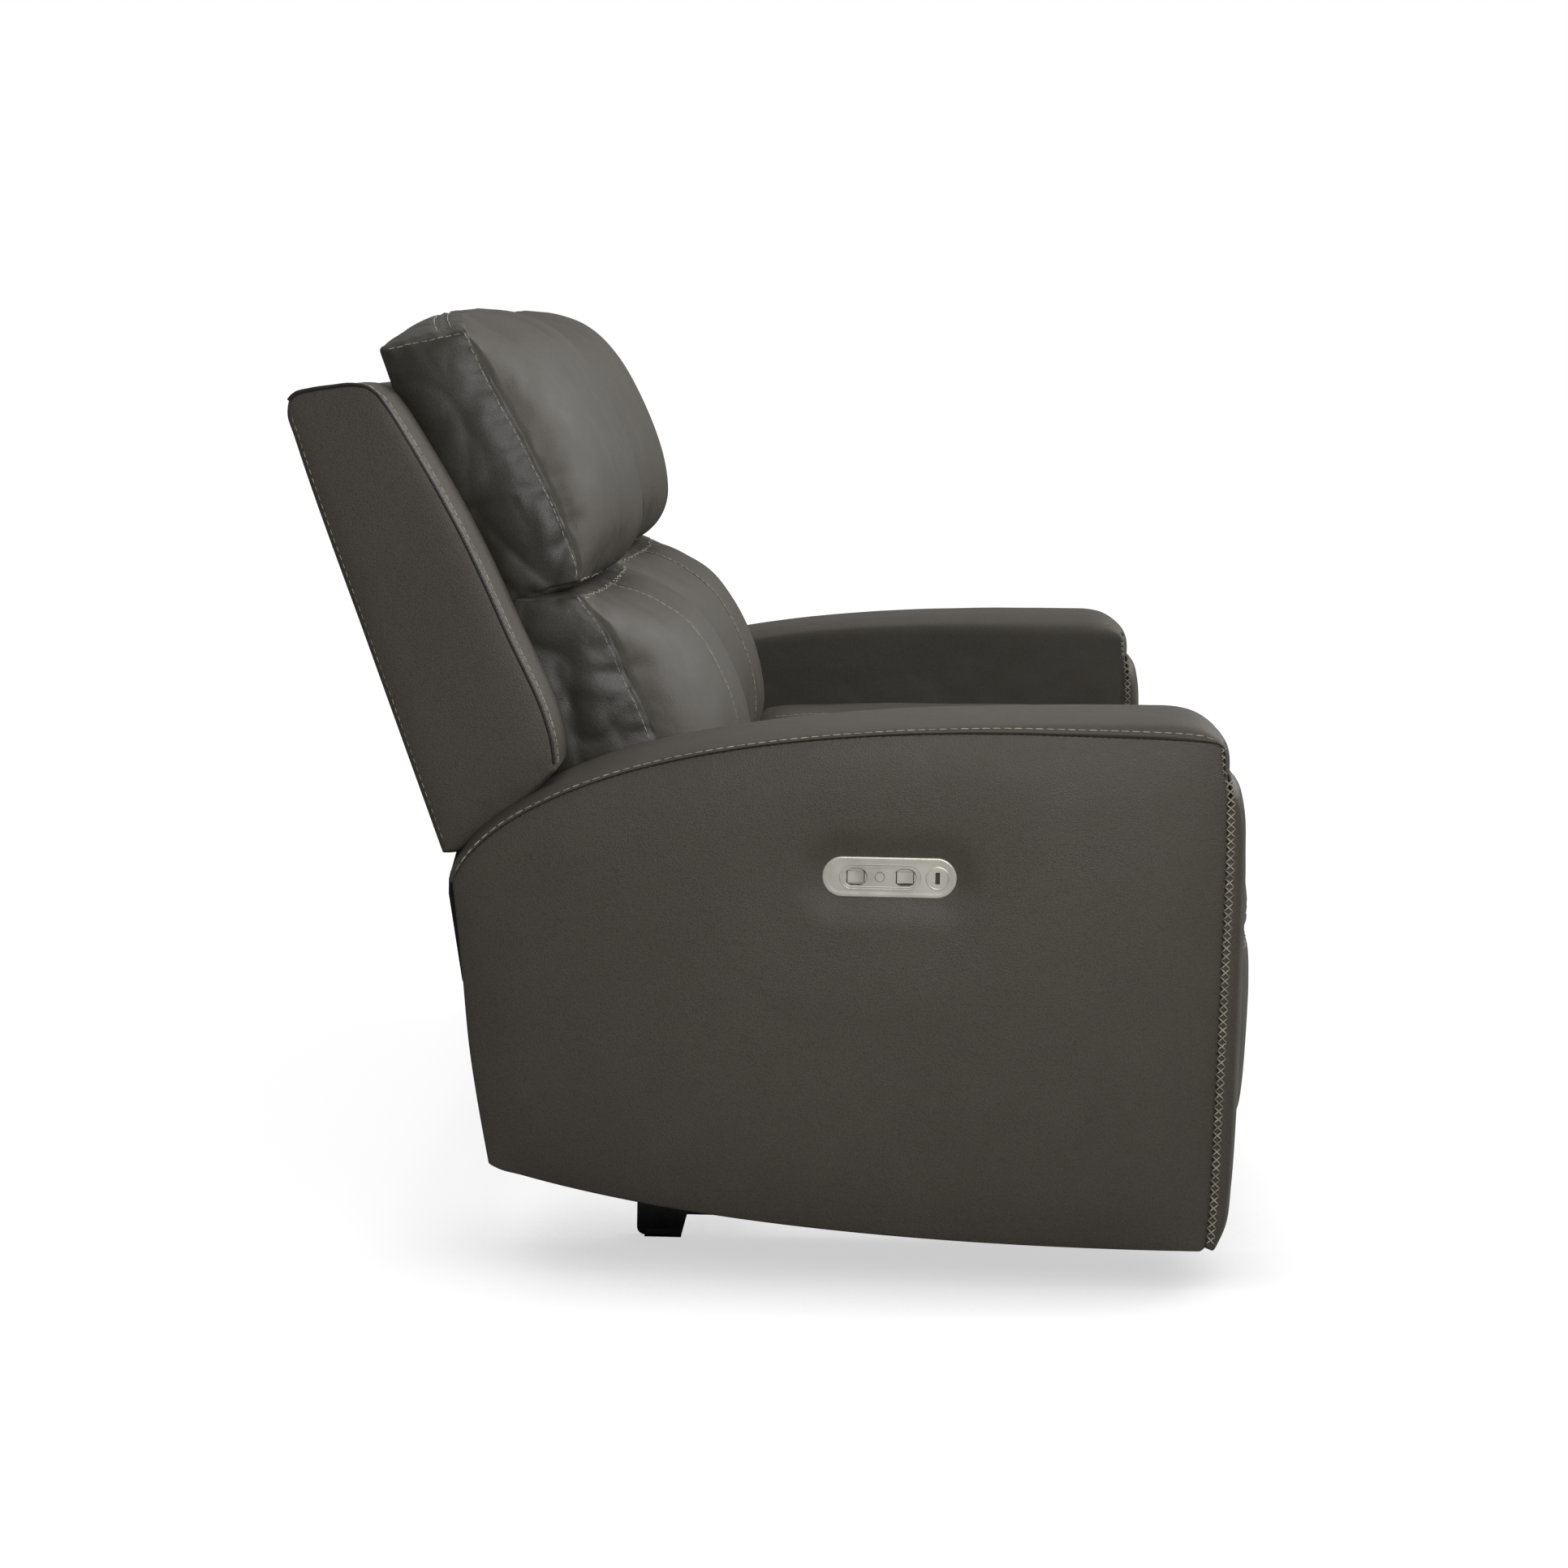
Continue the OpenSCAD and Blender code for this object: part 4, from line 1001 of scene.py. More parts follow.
class Sewing:
    """Makes rows of stitches with geometry nodes."""

    trees: dict[Stitch, bpy.types.NodeTree] = {}

    @classmethod
    def tree(cls, kind: Stitch) -> bpy.types.NodeTree:
        """Returns the geometry tree that sets a stitch on each point, made once.

        Args:
            kind: How the row is sewn.

        Returns:
            The tree, with the stitch's length, its thickness and its thread as inputs.
        """
        if kind in cls.trees:
            return cls.trees[kind]
        nodes, given = start_group("stitch_" + kind.value, {
            "Length": "Float", "Thickness": "Float", "Thread": "Material"})
        bead = nodes.add("GeometryNodeMeshUVSphere", {"Segments": 6, "Rings": 5, "Radius": 0.5})
        size = nodes.add("ShaderNodeCombineXYZ", {0: given["Length"], 1: given["Thickness"],
                         2: given["Thickness"]})
        bead = nodes.add("GeometryNodeTransform",
                         {"Geometry": bead.outputs[0], "Scale": size.outputs[0]})
        stitch = bead.outputs[0]
        if kind is Stitch.CROSS:
            join = nodes.add("GeometryNodeJoinGeometry")
            for turn in (-0.82, 0.82):
                one = nodes.add("GeometryNodeTransform", {
                    "Geometry": stitch, "Translation": (0.0, 0.0, 0.0003 * turn),
                    "Rotation": (0.0, 0.0, turn)})
                nodes.tree.links.new(one.outputs[0], join.inputs[0])
            stitch = join.outputs[0]
        way, out = (nodes.add("GeometryNodeInputNamedAttribute", {"Name": name},
                              data_type="FLOAT_VECTOR") for name in ("way", "out"))
        turn = nodes.add("FunctionNodeAxesToRotation", {0: out.outputs[0], 1: way.outputs[0]},
                         primary_axis="Z", secondary_axis="X")
        put = nodes.add("GeometryNodeInstanceOnPoints", {
            "Points": given["Geometry"], "Instance": stitch, "Rotation": turn.outputs[0]})
        cls.trees[kind] = end_group(nodes, put.outputs[0], given["Thread"])
        return cls.trees[kind]

    @classmethod
    def sew(cls, name: str, rows: Sequence[Row], leather: bpy.types.Object, body: str) -> None:
        """Sews rows into one piece of thread for each way of sewing.

        Args:
            name: The start of the thread's name.
            rows: The rows.
            leather: The finished piece that they are sewn into.
            body: The body that they ride on.
        """
        surface = BVHTree.FromObject(leather, bpy.context.evaluated_depsgraph_get())
        seams = list(dict.fromkeys(row.seam for row in rows))
        for number, seam in enumerate(seams):
            laid = (row.places(surface) for row in rows if row.seam == seam)
            middles, ways, outs = (np.concatenate(q) for q in zip(*laid))
            label = f"{name}_{seam.kind.value}" + (f"_{number + 1}" if len(seams) > 1 else "")
            mesh = bpy.data.meshes.new(label)
            mesh.from_pydata(middles.tolist(), [], [])
            keep_vectors(mesh, "way", ways)
            keep_vectors(mesh, "out", outs)
            thread = grow(label, mesh, cls.tree(seam.kind), Length=seam.length,
                          Thickness=seam.thick, Thread=seam.finish.material())
            finish_piece(thread, seam.finish, body)


class Cord:
    """Makes piping with geometry nodes: a round cord along a line."""

    made: Optional[bpy.types.NodeTree] = None

    @classmethod
    def tree(cls) -> bpy.types.NodeTree:
        """Makes the geometry tree that gives a line a round section, once.

        Returns:
            The tree, with the cord's radius, its step and its leather as inputs.
        """
        if cls.made:
            return cls.made
        nodes, given = start_group("piping", {
            "Radius": "Float", "Step": "Float", "Leather": "Material"})
        line = nodes.add("GeometryNodeMeshToCurve", {0: given["Geometry"]})
        even = nodes.add("GeometryNodeResampleCurve",
                         {"Curve": line.outputs[0], "Length": given["Step"]}, mode="LENGTH")
        ring = nodes.add("GeometryNodeCurvePrimitiveCircle",
                         {"Resolution": 8, "Radius": given["Radius"]})
        tube = nodes.add("GeometryNodeCurveToMesh", {
            "Curve": even.outputs[0], "Profile Curve": ring.outputs[0], "Fill Caps": True})
        cls.made = end_group(nodes, tube.outputs[0], given["Leather"])
        return cls.made

    @classmethod
    def lay(cls, name: str, line: Array, radius: float, body: str) -> None:
        """Lays a cord along a line.

        Args:
            name: The piece's name.
            line: The cord's middle line.
            radius: Its radius.
            body: The body that it rides on.
        """
        mesh = bpy.data.meshes.new(name)
        mesh.from_pydata(line.tolist(), [(k, k + 1) for k in range(len(line) - 1)], [])
        piece = grow(name, mesh, cls.tree(), Radius=radius, Step=0.006,
                     Leather=PIPING.material())
        finish_piece(piece, PIPING, body)


# ---------------------------------------------------------------- arms


def coons(rear: Path, front: Path, low: Path, high: Path) -> Callable[[Array, Array], Array]:
    """Returns the filling of four edges that meet at their corners.

    Args:
        rear: Edge where u is 0, from low to high.
        front: Edge where u is 1, from low to high.
        low: Edge where v is 0, from rear to front.
        high: Edge where v is 1, from rear to front.

    Returns:
        A function of (u, v) to (y, z).
    """
    corner = [[edge.at(np.array(end)) for edge in (low, high)] for end in (0.0, 1.0)]

    def place(u: Array, v: Array) -> Array:
        """Places points between the edges.

        Args:
            u: Their shares from rear to front.
            v: Their shares from low to high.

        Returns:
            Their (y, z) places.
        """
        a, b = u[:, None], v[:, None]
        sides = (1 - b) * low.at(u) + b * high.at(u) + (1 - a) * rear.at(v) + a * front.at(v)
        flat = ((1 - a) * ((1 - b) * corner[0][0] + b * corner[0][1])
                + a * ((1 - b) * corner[1][0] + b * corner[1][1]))
        return sides - flat

    return place


def bezier(a: tuple, b: tuple, c: tuple, d: tuple, count: int = 24) -> list[tuple[float, float]]:
    """Runs along a cubic curve.

    Args:
        a: Its start.
        b: The point that it sets out for.
        c: The point that it comes in from.
        d: Its end.
        count: Number of points.

    Returns:
        The points.
    """
    t = np.linspace(0, 1, count)[:, None]
    p = [np.array(q) for q in (a, b, c, d)]
    run = ((1 - t) ** 3 * p[0] + 3 * t * (1 - t) ** 2 * p[1] + 3 * t * t * (1 - t) * p[2]
           + t**3 * p[3])
    return [tuple(q) for q in run]


@dataclass
class Arm:
    """A padded arm: leather cover, rolled cap, front pad and their seams."""

    side: Side
    outer: float = 0.7945
    inner: float = 0.6200
    cap_inner: float = 0.6155
    bulge: float = 0.0165
    panel: tuple[float, float] = (-0.109, 0.440)
    panel_half: tuple[float, float] = (0.071, 0.0215)
    lip: float = 0.008
    cap_height: float = 0.018
    stitch_rise: float = 0.0088
    pad_thick: float = 0.036
    seam: Path = field(default_factory=lambda: Path(
        bezier((0.3535, 0.4245), (0.335, 0.4900), (0.170, 0.6060), (-0.300, 0.5958))
        + [(-0.38, 0.5946), (-0.43, 0.5928), (-0.4595, 0.5905)], smooth=False))
    corner: Path = field(default_factory=lambda: Path([
        (-0.4480, 0.0425), (-0.4555, 0.0445), (-0.4590, 0.0520), (-0.4600, 0.0640),
        (-0.4635, 0.20), (-0.4655, 0.36), (-0.4660, 0.500), (-0.4645, 0.5350), (-0.4615, 0.5560),
        (-0.4600, 0.5750), (-0.4595, 0.5905)]))
    crown: Path = field(default_factory=lambda: Path([
        (0.3595, 0.4310), (0.352, 0.4460), (0.336, 0.4690), (0.309, 0.4945), (0.262, 0.5220),
        (0.200, 0.5490), (0.110, 0.5745), (0.020, 0.5905), (-0.066, 0.6010), (-0.153, 0.6080),
        (-0.240, 0.6122), (-0.328, 0.6150), (-0.390, 0.6160), (-0.416, 0.6157),
        (-0.4340, 0.6120), (-0.4500, 0.6030), (-0.4600, 0.5935), (-0.4650, 0.5830),
        (-0.4672, 0.5700), (-0.4672, 0.5565)]))

    def build(self) -> None:
        """Builds the arm's pieces."""
        cover = self.cover()
        self.cap(cover)
        self.pad(cover)

    def panel_pull(self, places: Array) -> tuple[Array, Array]:
        """Draws the leather in about the control panel.

        Args:
            places: Places on the cover.

        Returns:
            How far each is drawn in, as a share, and how high its pucker is.
        """
        straight = self.panel_half[0] - self.panel_half[1]
        y = np.maximum(np.abs(places[:, 1] - self.panel[0]) - straight, 0)
        z = places[:, 2] - self.panel[1]
        away = np.hypot(y, z) - self.panel_half[1]
        near, wide = smooth_step(away, -0.010, 0.034), smooth_step(away, 0.0, 0.125)
        dip = 1 - 0.62 * near - 0.38 * wide
        angle = np.arctan2(z, y + 0.01)
        pucker = 0.0005 * np.sin(angle * 9 + 1.3) * np.exp(-np.maximum(away, 0) / 0.02)
        return dip, pucker * (away > 0)

    def cover(self) -> bpy.types.Object:
        """Builds the grained cover: both side walls, its edges and its underside.

        Returns:
            The cover.
        """
        low = Path([(0.3120, 0.1210), (0.3060, 0.1165), (0.2950, 0.1125)]
                   + bezier((0.280, 0.1095), (0.110, 0.0640), (-0.140, 0.0408),
                            (-0.4480, 0.0425)), False)
        rear = Path([(0.3120, 0.1210), (0.3234, 0.1811), (0.3330, 0.2400), (0.3425, 0.3300),
                     (0.3500, 0.3980), (0.3535, 0.4245)])
        rounded, share, quads = Block(
            (0.80, 0.50, self.outer - self.inner), (0.004, 0.0035, 0.004), (96, 60, 12),
            outline=True).shares()
        yz = coons(rear, self.corner, low, self.seam)(share[:, 0], share[:, 1])
        places = np.stack([-(self.inner + rounded[:, 2]), yz[:, 0], yz[:, 1]], 1)
        puff = plateau(share[:, 0], 7) * plateau(share[:, 1], 5)
        dip, pucker = self.panel_pull(places)
        outside = smooth_step(share[:, 2], 0.6, 1.0)
        places[:, 0] -= outside * (puff * self.bulge * (1 - 0.848 * dip) + pucker)
        wave = Clouds(5).billow(places * self.side.flip * np.array([6, 5, 5]), 2)
        places[:, 0] -= outside * puff * 0.0013 * wave * (1 - 0.8 * dip)
        return upholster(f"{self.side.word}_arm_cover", places * self.side.flip, quads, GRAINED,
                         "base", ["arm_covers"])

    def cap(self, cover: bpy.types.Object) -> None:
        """Builds the smooth cap, which rolls over the front and down the arm's inner side.

        Args:
            cover: The arm's cover, which has the dark thread.
        """
        base = Path(
            [(0.3535, 0.4225)]
            + [(y, z - 0.0022) for y, z in self.seam.at(np.linspace(0.01, 0.93, 60))]
            + [(-0.4480, 0.5895), (-0.4545, 0.5870), (-0.4570, 0.5820), (-0.4575, 0.5700),
               (-0.4575, 0.5550)], smooth=False)
        section = Path([
            (-0.7965, 0.0), (-0.7990, 0.14), (-0.7985, 0.34), (-0.7930, 0.58), (-0.7800, 0.78),
            (-0.7560, 0.92), (-0.7200, 0.99), (-0.6850, 1.0), (-0.6550, 0.93), (-0.6350, 0.72),
            (-0.6220, 0.40), (-self.cap_inner, 0.0)])
        across = section.points * np.array([1, self.cap_height])
        run = np.concatenate([[0], np.cumsum(np.linalg.norm(np.diff(across, axis=0), axis=1))])
        run /= run[-1]
        _, share, quads = Block((1.0, 0.40, self.cap_height), (0.004,) * 3, (120, 44, 2),
                                outline=True).shares()
        top = np.clip(share[:, 1] / 0.5, 0, 1)
        wall = np.clip(share[:, 1] / 0.5 - 1, 0, 1)[:, None]
        x, lift = (np.interp(top, run, section.points[:, k]) for k in (0, 1))
        low, high = base.at(share[:, 0]), self.crown.at(share[:, 0])
        skin = low + lift[:, None] * (high - low)
        foot = np.stack([0.325 - 0.7825 * share[:, 0], 0.27 + 0.09 * share[:, 0]], 1)
        skin = (1 - wall) * skin + wall * foot
        deep = (1 - wall) * low + wall * foot
        x_deep = np.where(wall[:, 0] > 0, -self.cap_inner - self.lip,
                          np.clip(x, -0.792, -self.cap_inner - self.lip))
        yz = deep + share[:, 2:3] * (skin - deep)
        places = np.stack([x_deep + share[:, 2] * (x - x_deep), yz[:, 0], yz[:, 1]], 1)
        clouds = Clouds(11)
        seen = places * self.side.flip
        wave = 0.0007 * clouds.billow(seen * np.array([7, 9, 9]), 3)
        slack = smooth_step(wall[:, 0], 0.02, 0.25)
        wave += slack * (0.0016 * clouds.billow(seen * np.array([4, 9, 13]), 3)
                         - 0.0012 * clouds.folds(seen * np.array([4, 7, 15]) + 4.4, 2))
        turns = [0, 0.2, 0.6, 0.95, 1]
        outwards = np.stack([np.interp(top, turns, [-1, 0, 0, 0.7, 1]), np.zeros(len(top)),
                             np.interp(top, turns, [0, 1, 1, 0.7, 0])], 1)
        places += outwards * (wave * smooth_step(share[:, 2], 0.5, 1.0))[:, None]
        piece = upholster(f"{self.side.word}_arm_cap", places * self.side.flip, quads, SMOOTH,
                          "base", ["arm_caps"])
        at = np.linspace(0.012, 0.948, 300)
        line = base.at(at) + 0.5 * (self.crown.at(at) - base.at(at))
        line[:, 1] = np.minimum(line[:, 1], base.at(at)[:, 1] + self.stitch_rise)
        edge = Row(self.side.line(-0.8005, line), CAP_EDGE)
        dark = self.seam.at(np.linspace(0.01, 0.985, 200)) - np.array([0, 0.0004])
        Sewing.sew(f"{self.side.word}_arm_cap_thread", [edge], piece, "base")
        Sewing.sew(f"{self.side.word}_arm_seam_thread",
                   [Row(self.side.line(-0.7985, dark), CAP_SEAM)], cover, "base")

    def pad(self, cover: bpy.types.Object) -> None:
        """Builds the front pad and the crossed stitches down its two seams.

        Args:
            cover: The arm's cover, which has the crossed stitches.
        """
        front = Path([
            (-0.4650, 0.5570), (-0.4765, 0.5480), (-0.4835, 0.526), (-0.4880, 0.470),
            (-0.4895, 0.400), (-0.4895, 0.280), (-0.4880, 0.180), (-0.4850, 0.113),
            (-0.4790, 0.062), (-0.4660, 0.0400)])
        at_edge = self.corner.at(np.linspace(0.86, 0.02, 60))
        back = Path([(y + 0.0035, z) for y, z in at_edge], False)
        edge = Path([(y - 0.0048, z) for y, z in at_edge], False)
        rounded, share, quads = Block(
            (0.7985 - self.cap_inner, 0.521, self.pad_thick), (0.0065, 0.006, 0.006),
            (20, 56, 4)).shares()
        swell = crest(share[:, 0], 3.6)[:, None]
        face = edge.at(share[:, 1]) * (1 - swell) + front.at(share[:, 1]) * swell
        rear = back.at(share[:, 1])
        yz = rear + share[:, 2:3] * (face - rear)
        places = np.stack([-(self.cap_inner + rounded[:, 0]), yz[:, 0], yz[:, 1]], 1)
        wave = Clouds(23).billow(places * self.side.flip * np.array([9, 5, 6]), 3)
        places[:, 1] -= 0.0012 * wave * smooth_step(share[:, 2], 0.5, 1.0)
        piece = upholster(f"{self.side.word}_arm_front_pad", places * self.side.flip, quads,
                          GRAINED, "base")
        rows = []
        line = self.corner.at(np.linspace(0.03, 0.93, 160)) + np.array([-0.0005, 0])
        top = self.corner.at(np.linspace(0.937, 0.992, 30)) + np.array([0.0030, 0])
        for x, inwards, way in ((-self.outer - 0.0052, 0.0022, -1.0),
                                (-self.cap_inner + 0.0008, -0.0005, 1.0)):
            facing = way * self.side.value
            rows += [Row(self.side.line(x, line), ARM_CROSSED, facing),
                     Row(self.side.line(x + inwards, top), ARM_CROSSED_TOP, facing)]
        Sewing.sew(f"{self.side.word}_arm_front_thread", rows, cover, "base")


# ---------------------------------------------------------------- control panel


def shell_of(name: str, loops: Sequence[Array], closed: bool = False) -> bpy.types.Object:
    """Lofts a closed shell through loops of equal length.

    Args:
        name: The piece's name.
        loops: The loops, in order; the first and the last are filled.
        closed: True to join the last loop to the first instead of filling them.

    Returns:
        The new object, with its faces outwards.
    """
    made = bmesh.new()
    rings = [[made.verts.new(Vector(spot)) for spot in loop] for loop in loops]
    count = len(rings[0])
    for one, two in zip(rings, rings[1:] + (rings[:1] if closed else [])):
        for k in range(count):
            made.faces.new((one[k], one[(k + 1) % count], two[(k + 1) % count], two[k]))
    if not closed:
        made.faces.new(rings[0])
        made.faces.new(rings[-1])
    bmesh.ops.recalc_face_normals(made, faces=made.faces)
    mesh = bpy.data.meshes.new(name)
    made.to_mesh(mesh)
    made.free()
    return place_object(name, mesh)


@dataclass
class ControlPanel:
    """The bezel: a rounded plate, a ring about the buttons and the socket's disc.

    A profile is a list of (inset, out) pairs, from the back of a shape's edge to
    its face.
    """

    side: Side
    back: float = 0.7971
    middle: tuple[float, float] = (-0.109, 0.440)
    plate: tuple[float, float] = (0.0495, 0.0215)
    ring: tuple[float, float, float] = (0.0095, 0.0300, 0.0135)
    disc: tuple[float, float] = (-0.0508, 0.0125)
    rockers: tuple[float, float] = (0.0356, -0.0165)
    rocker_hole: tuple[float, float] = (0.0030, 0.0090)
    home: tuple[float, float] = (0.0102, 0.0051)
    socket: tuple[float, float] = (0.0048, 0.0124)
    plate_profile: Points = (
        (0.0, 0.0), (0.0, 0.0014), (0.0003, 0.0020), (0.0009, 0.0024), (0.0017, 0.0026),
        (0.0040, 0.0023), (0.0062, 0.0021), (0.0064, 0.0021))
    disc_profile: Points = (
        (0.0, 0.0), (0.0, 0.0023), (0.0003, 0.0029), (0.0009, 0.0031), (0.0014, 0.0029),
        (0.0018, 0.0025), (0.0024, 0.0026), (0.0030, 0.0026))
    hole_profile: Points = (
        (0.0, -0.002), (0.0, 0.0014), (-0.0002, 0.0020), (-0.0008, 0.0026), (-0.0012, 0.006))
    ring_lines: Points = ((0.0, 0.0030), (0.0024, 0.0026))
    slot_reach: tuple[float, float] = (-0.002, 0.006)
    sharp: float = 38.0

    def loop(self, place: float, half: float, radius: float, out: float, count: int = 96) -> Array:
        """Returns a capsule's outline on the panel.

        Args:
            place: Its middle along the panel.
            half: Half of its straight length.
            radius: Its ends' radius.
            out: How far out of the panel's back plane it lies.
            count: Number of its points.

        Returns:
            The outline's places.
        """
        turn = (np.arange(count) + 0.5) / count * 2 * math.pi
        y = self.middle[0] + place + half * np.sign(np.cos(turn)) + radius * np.cos(turn)
        z = self.middle[1] + radius * np.sin(turn)
        return self.side.line(-self.back - out, np.stack([y, z], 1))

    def lofted(self, name: str, place: float, half: float, radius: float,
               profile: Points, closed: bool = False) -> bpy.types.Object:
        """Returns a shell whose outline steps in and out by a profile."""
        loops = [self.loop(place, half, radius - inset, out) for inset, out in profile]
        return shell_of(name, loops, closed)

    def cutters(self) -> list[bpy.types.Object]:
        """Makes the shapes of the holes: two rockers, the home button and the socket.

        Returns:
            The shapes.
        """
        made = [self.lofted("hole", place, *self.rocker_hole, self.hole_profile)
                for place in self.rockers]
        made.append(self.lofted("hole", self.home[0], 0.0, self.home[1], self.hole_profile))
        corners = np.array([(-1, -1), (1, -1), (1, 1), (-1, 1)]) * np.array(self.socket) / 2
        corners += np.array([self.middle[0] + self.disc[0], self.middle[1]])
        made.append(shell_of("hole", [self.side.line(-self.back - out, corners)
                                      for out in self.slot_reach]))
        return made

    def rings(self) -> list[bpy.types.Object]:
        """Makes the two raised lines of the oblong ring.

        Returns:
            The lines.
        """
        place, half, radius = self.ring
        made = []
        for inset, rise in self.ring_lines:
            profile = ((0.0, 0.0010), (0.0002, rise - 0.0003), (0.0006, rise),
                       (0.0011, rise - 0.0003), (0.0013, 0.0010))
            made.append(self.lofted("ring", place, half, radius - inset, profile, closed=True))
        return made

    def build(self) -> None:
        """Builds the bezel and cuts its holes."""
        plate = self.lofted("plate", 0.0, *self.plate, self.plate_profile)
        disc = self.lofted("disc", self.disc[0], 0.0, self.disc[1], self.disc_profile)
        parts = [plate, disc, *self.rings()]
        holes = self.cutters()
        for part in (plate, disc):
            for hole in holes:
                cut = part.modifiers.new("hole", "BOOLEAN")
                cut.operation, cut.solver, cut.object = "DIFFERENCE", "EXACT", hole
            harden(part)
        whole = bmesh.new()
        for part in parts:
            whole.from_mesh(part.data)
        name = f"{self.side.word}_control_bezel"
        mesh = bpy.data.meshes.new(name)
        whole.to_mesh(mesh)
        whole.free()
        for part in (*parts, *holes):
            bpy.data.objects.remove(part)
        mesh.shade_smooth()
        mesh.set_sharp_from_angle(angle=math.radians(self.sharp))
        piece = place_object(name, mesh)
        finish_piece(piece, SATIN_SILVER, "base", ["control_bezels"])


# ---------------------------------------------------------------- cushions


@dataclass
class Cushion:
    """A filled leather cushion between two outlines in the side plane.

    The lattice runs across (a), along (b) and from the rear or underside to the
    face (c). The face and the rear each have an outline at the side seams and
    one in the middle, and the leather crowns from one to the other.
    """

    name: str
    side: Side
    body: str
    span: tuple[float, float]
    face_seam: Path
    face_mid: Path
    rear_seam: Path
    rear_mid: Path
    depth: float
    radius: tuple[float, float, float] = (0.008, 0.010, 0.008)
    cells: tuple[int, int, int] = (52, 34, 14)
    seams: tuple[Sequence[float], ...] = ((), (), ())
    side_puff: float = 0.006
    end_puff: tuple[float, float] = (0.0, 0.0)
    crown_power: float = 2.6
    swell: float = 0.022
    fill: float = 0.7
    sole: float = 1.0
    lining: float = 0.0
    # Painted shade: True puts the darker copy of the leather on the side gussets.
    dark_gusset: bool = False
    seed: int = 1

    @property
    def size(self) -> tuple[float, float, float]:
        """The block's size before it is shaped."""
        return (self.span[1] - self.span[0], self.face_mid.length, self.depth)

    def shape(self, rounded: Array) -> Array:
        """Shapes the block into the left cushion.

        Args:
            rounded: Places on the block.

        Returns:
            Their places on the cushion.
        """
        share = rounded / np.array(self.size)
        a, b, c = share.T
        edge = self.radius[2] / self.depth
        c = np.where(c < edge, edge - (edge - c) * self.sole, c)
        swell = crest(a, self.crown_power)[:, None]
        face = self.face_seam.at(b) * (1 - swell) + self.face_mid.at(b) * swell
        rear = self.rear_seam.at(b) * (1 - swell) + self.rear_mid.at(b) * swell
        yz = rear + c[:, None] * (face - rear)
        x = self.span[0] + a * (self.span[1] - self.span[0])
        hump = self.side_puff * crest(b, 2.2) * crest(c, 2.2)
        x = x - hump * (1 - smooth_step(a, 0.0, 0.03)) + hump * smooth_step(a, 0.97, 1.0)
        over = crest(a, 2.4) * crest(c, 2.2)
        for end, amount in zip((0.0, 1.0), self.end_puff):
            if amount:
                near = 1 - smooth_step(np.abs(b - end), 0.0, 0.08)
                inside = np.array([abs(end - 0.02)])
                step = self.face_mid.at(np.array([end])) - self.face_mid.at(inside)
                yz = yz + (amount * over * near)[:, None] * step / np.linalg.norm(step)
        return np.stack([x, yz[:, 0], yz[:, 1]], 1)

    def held(self, flat: Array) -> Array:
        """Finds the vertices that the seams and the rear hold.

        Args:
            flat: Lattice places of the vertices.

        Returns:
            True for each one held.
        """
        edge = np.minimum(flat, np.array(self.size) - flat)
        close = np.sort(edge, axis=1)[:, 1] < 0.0025
        return close | (flat[:, 2] < 1e-6)

    def relief(self, flat: Array, places: Array) -> Array:
        """Returns how far the leather stands out at each vertex, from both its places."""
        raise NotImplementedError

    def rows(self) -> list[Row]:
        """Returns the cushion's rows of stitches."""
        raise NotImplementedError

    def edge_seams(self, flat: Array, depth: float, width: float) -> Array:
        """Returns the grooves along the face's two side edges, below 0."""
        a, below = flat[:, 0], self.depth - flat[:, 2]
        return -sum(groove(run - below, depth, width) for run in (a, self.size[0] - a))

    def face_seams(self, a: Array, tight: float, dip: float, width: float) -> Array:
        """Returns the grooves along the seams down the face, each in a wider dip."""
        return sum(groove(a - s, tight, 0.0035) + groove(a - s, dip, width)
                   for s in self.seams[0])

    def face_rows(self, along: Array) -> list[Row]:
        """Returns the rows beside the seams down the face."""
        return [Row(self.line(s - 0.004, along, self.depth), CUSHION_PANEL)
                for s in self.seams[0]]

    def build(self) -> bpy.types.Object:
        """Shapes, swells and creases the cushion.

        Returns:
            The piece, before its finish.
        """
        rounded, flat, quads = Block(self.size, self.radius, self.cells, self.seams).skin()
        piece = make_piece(f"{self.side.word}_{self.name}_leather",
                           self.shape(rounded) * self.side.flip, quads, flat)
        inflate(piece, self.held(flat), self.swell)
        refine(piece)
        places = vectors_of(piece.data.vertices, "co")
        height = self.relief(lattice_of(piece), places)[:, None]
        move_to(piece, places + vectors_of(piece.data.vertex_normals) * height)
        return piece

    def zones(self, piece: bpy.types.Object) -> list[tuple[Finish, Array]]:
        """Finds the faces with a finish of their own: the side gussets' darker leather, which is
        painted shade, and the cloth lining.

        Args:
            piece: The cushion's piece.

        Returns:
            The finishes, each with its faces.
        """
        corners = np.zeros(len(piece.data.loops), np.int32)
        piece.data.loops.foreach_get("vertex_index", corners)
        a, b, c = lattice_of(piece)[corners].reshape(-1, 4, 3).mean(1).T
        aside = np.minimum(a, self.size[0] - a)
        found = []
        # Painted shade: the side gussets take the darker copy of the leather.
        if self.dark_gusset:
            gap = np.minimum(np.minimum(b, self.size[1] - b), np.minimum(c, self.depth - c))
            found.append((SHADED_GUSSET, (aside < 1e-4) & (gap > 0)))
        if self.lining:
            inside = np.minimum(aside, np.minimum(b, self.size[1] - b))
            found.append((BLACK_CLOTH, (c < 0.003) & (inside > self.lining)))
        return found

    def line(self, a: Place, b: Place, c: Place) -> Array:
        """Returns a line on this side's cushion from lattice distances."""
        return self.shape(np.stack(np.broadcast_arrays(a, b, c), 1)) * self.side.flip


